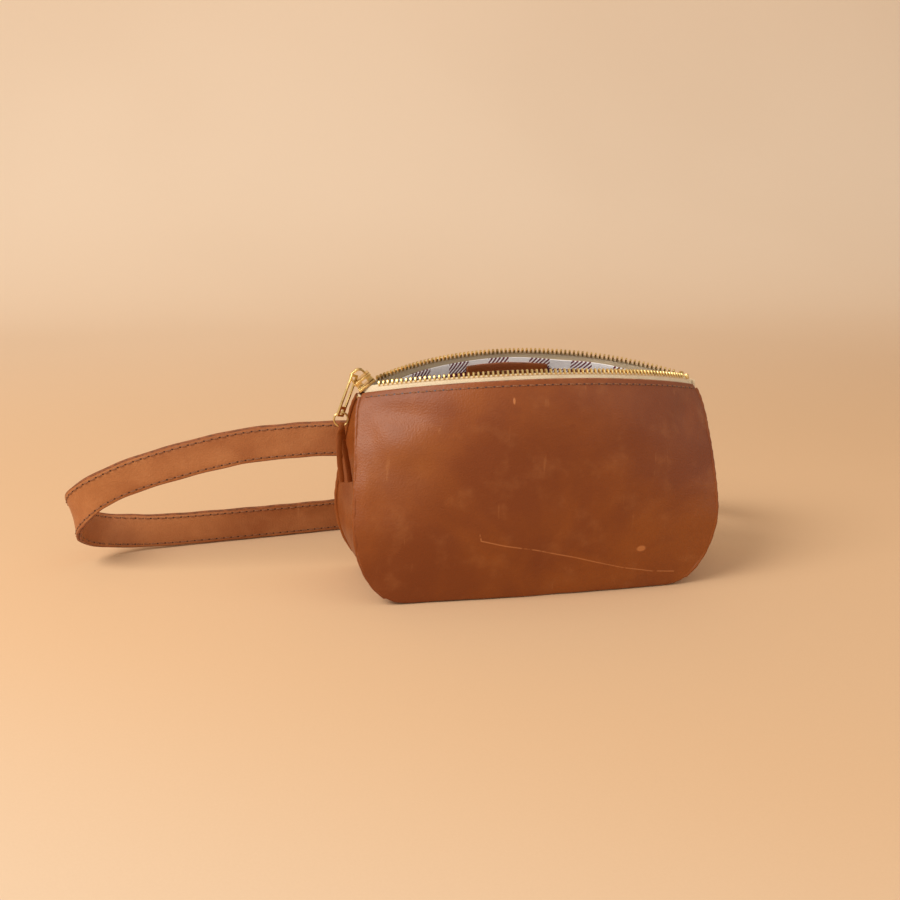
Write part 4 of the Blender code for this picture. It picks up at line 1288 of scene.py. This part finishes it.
# ---------------------------------------------------------------- the stage
def make_stage():
    cfg = bpy.context.scene.pack_stage
    bm = bmesh.new()
    start, cove, floor_z = 0.9, 0.8, -0.0002
    profile = [(-3.0, floor_z), (start, floor_z)]
    profile += [(start + cove * math.sin(a), cove - cove * math.cos(a) + floor_z)
                for a in (math.pi / 2 * k / 24 for k in range(1, 25))]
    profile.append((start + cove, 4.0))
    rows = [[bm.verts.new((x, y, z)) for x in (-4.0, -1.3, 1.3, 4.0)] for y, z in profile]
    for low, high in zip(rows, rows[1:]):
        for a, b, c, d in zip(low, low[1:], high[1:], high):
            bm.faces.new((a, b, c, d))
    mesh = bpy.data.meshes.new("paper_sweep")
    bm.to_mesh(mesh)
    bm.free()
    mesh.shade_smooth()
    mesh.materials.append(finish("paper_floor"))
    sweep = bpy.data.objects.new("paper_sweep", mesh)
    bpy.context.scene.collection.objects.link(sweep)

    def light(name, place, target, size, power, tint):
        lamp = bpy.data.lights.new(name, "AREA")
        lamp.shape = "DISK"
        lamp.size = size
        lamp.energy = power
        lamp.color = tint
        made = bpy.data.objects.new(name, lamp)
        made.location = place
        made.rotation_euler = (Vector(target) - Vector(place)).to_track_quat("-Z", "Y").to_euler()
        bpy.context.scene.collection.objects.link(made)

    light("key", (-1.12, -0.48, 1.12), (0, 0, 0.04), 0.95, cfg.key, (1.0, 0.97, 0.93))
    light("fill", (1.3, -1.1, 0.7), (0, 0, 0.05), 1.2, cfg.fill, (1.0, 0.95, 0.9))

    world = bpy.data.worlds.new("room")
    world.use_nodes = True
    background = world.node_tree.nodes["Background"]
    background.inputs["Color"].default_value = (1.0, 0.93, 0.86, 1)
    background.inputs["Strength"].default_value = cfg.world
    scene = bpy.context.scene
    scene.world = world
    scene.view_settings.view_transform = "Standard"
    scene.view_settings.look = "None"

    camera = bpy.data.cameras.new("camera")
    camera.sensor_width = 36.0
    camera.lens = cfg.lens
    camera.clip_start = 0.01
    eye = bpy.data.objects.new("camera", camera)
    turn, rise, roll = math.radians(-13.5), math.radians(15.3), math.radians(1.34)
    back = Vector((math.sin(turn) * math.cos(rise), -math.cos(turn) * math.cos(rise),
                   math.sin(rise)))
    right = Vector((math.cos(turn), math.sin(turn), 0))
    up = back.cross(right)
    right, up = (right * math.cos(roll) + up * math.sin(roll),
                 up * math.cos(roll) - right * math.sin(roll))
    eye.matrix_world = Matrix.Translation((-0.1761, -0.5431, 0.2290)) @ Matrix(
        (right, up, back)).transposed().to_4x4()
    scene.collection.objects.link(eye)
    scene.camera = eye


# ---------------------------------------------------------------- operators
class PACK_OT_panels(bpy.types.Operator):
    """Make the front and back leather panels with their edge stitches and seam welts"""
    bl_idname = "pack.panels"
    bl_label = "Leather panels"

    def execute(self, context):
        for side, bulge in PANELS:
            make_panel(side, bulge)
        make_welts()
        return {"FINISHED"}


class PACK_OT_gusset(bpy.types.Operator):
    """Make the leather strip round the sides and bottom"""
    bl_idname = "pack.gusset"
    bl_label = "Side and bottom leather"

    def execute(self, context):
        make_gusset()
        return {"FINISHED"}


class PACK_OT_lining(bpy.types.Operator):
    """Make the gingham lining"""
    bl_idname = "pack.lining"
    bl_label = "Gingham lining"

    def execute(self, context):
        make_lining()
        return {"FINISHED"}


class PACK_OT_pocket(bpy.types.Operator):
    """Make the slip pocket inside the back"""
    bl_idname = "pack.pocket"
    bl_label = "Slip pocket"

    def execute(self, context):
        make_pocket()
        return {"FINISHED"}


class PACK_OT_zip(bpy.types.Operator):
    """Make the zip's tapes, teeth, stops and slider"""
    bl_idname = "pack.zip"
    bl_label = "Zip"

    def execute(self, context):
        make_tapes()
        make_teeth()
        make_zip_hardware()
        return {"FINISHED"}


class PACK_OT_pull(bpy.types.Operator):
    """Make the pull tab, its ring and its lace"""
    bl_idname = "pack.pull"
    bl_label = "Zip pull"

    def execute(self, context):
        make_pull()
        return {"FINISHED"}


class PACK_OT_straps(bpy.types.Operator):
    """Make the waist strap's layers, holes and stitches"""
    bl_idname = "pack.straps"
    bl_label = "Waist strap"

    def execute(self, context):
        make_straps()
        return {"FINISHED"}


class PACK_OT_buckle(bpy.types.Operator):
    """Make the buckle, its prong and the keeper loop"""
    bl_idname = "pack.buckle"
    bl_label = "Buckle and keeper"

    def execute(self, context):
        make_buckle()
        make_keeper()
        return {"FINISHED"}


class PACK_OT_stage(bpy.types.Operator):
    """Make the paper sweep, lights and camera"""
    bl_idname = "pack.stage"
    bl_label = "Stage"

    def execute(self, context):
        make_stage()
        return {"FINISHED"}


OPERATORS = (PACK_OT_panels, PACK_OT_gusset, PACK_OT_lining, PACK_OT_pocket, PACK_OT_zip,
             PACK_OT_pull, PACK_OT_straps, PACK_OT_buckle, PACK_OT_stage)
SETTINGS = (("pack_leather", PackLeatherSettings), ("pack_sewing", PackSewingSettings),
            ("pack_zip", PackZipSettings), ("pack_lining", PackLiningSettings),
            ("pack_stage", PackStageSettings))


class PACK_PT_panel(bpy.types.Panel):
    """Sidebar panel with the pack's settings and operators"""
    bl_idname = "PACK_PT_panel"
    bl_label = "Waist pack"
    bl_space_type = "VIEW_3D"
    bl_region_type = "UI"
    bl_category = "Waist pack"

    def draw(self, context):
        for operator in OPERATORS:
            self.layout.operator(operator.bl_idname)
        for name, group in SETTINGS:
            box = self.layout.box()
            for key in group.__annotations__:
                box.prop(getattr(context.scene, name), key)


def register():
    for name, group in SETTINGS:
        bpy.utils.register_class(group)
        setattr(bpy.types.Scene, name, PointerProperty(type=group))
    for operator in OPERATORS:
        bpy.utils.register_class(operator)
    bpy.utils.register_class(PACK_PT_panel)


def unregister():
    bpy.utils.unregister_class(PACK_PT_panel)
    for operator in reversed(OPERATORS):
        bpy.utils.unregister_class(operator)
    for name, group in reversed(SETTINGS):
        delattr(bpy.types.Scene, name)
        bpy.utils.unregister_class(group)


def main():
    register()
    bpy.ops.pack.stage()
    bpy.ops.pack.panels()
    bpy.ops.pack.gusset()
    bpy.ops.pack.lining()
    bpy.ops.pack.pocket()
    bpy.ops.pack.zip()
    bpy.ops.pack.pull()
    bpy.ops.pack.straps()
    bpy.ops.pack.buckle()
    bpy.context.view_layer.update()


if __name__ == "__main__":
    main()
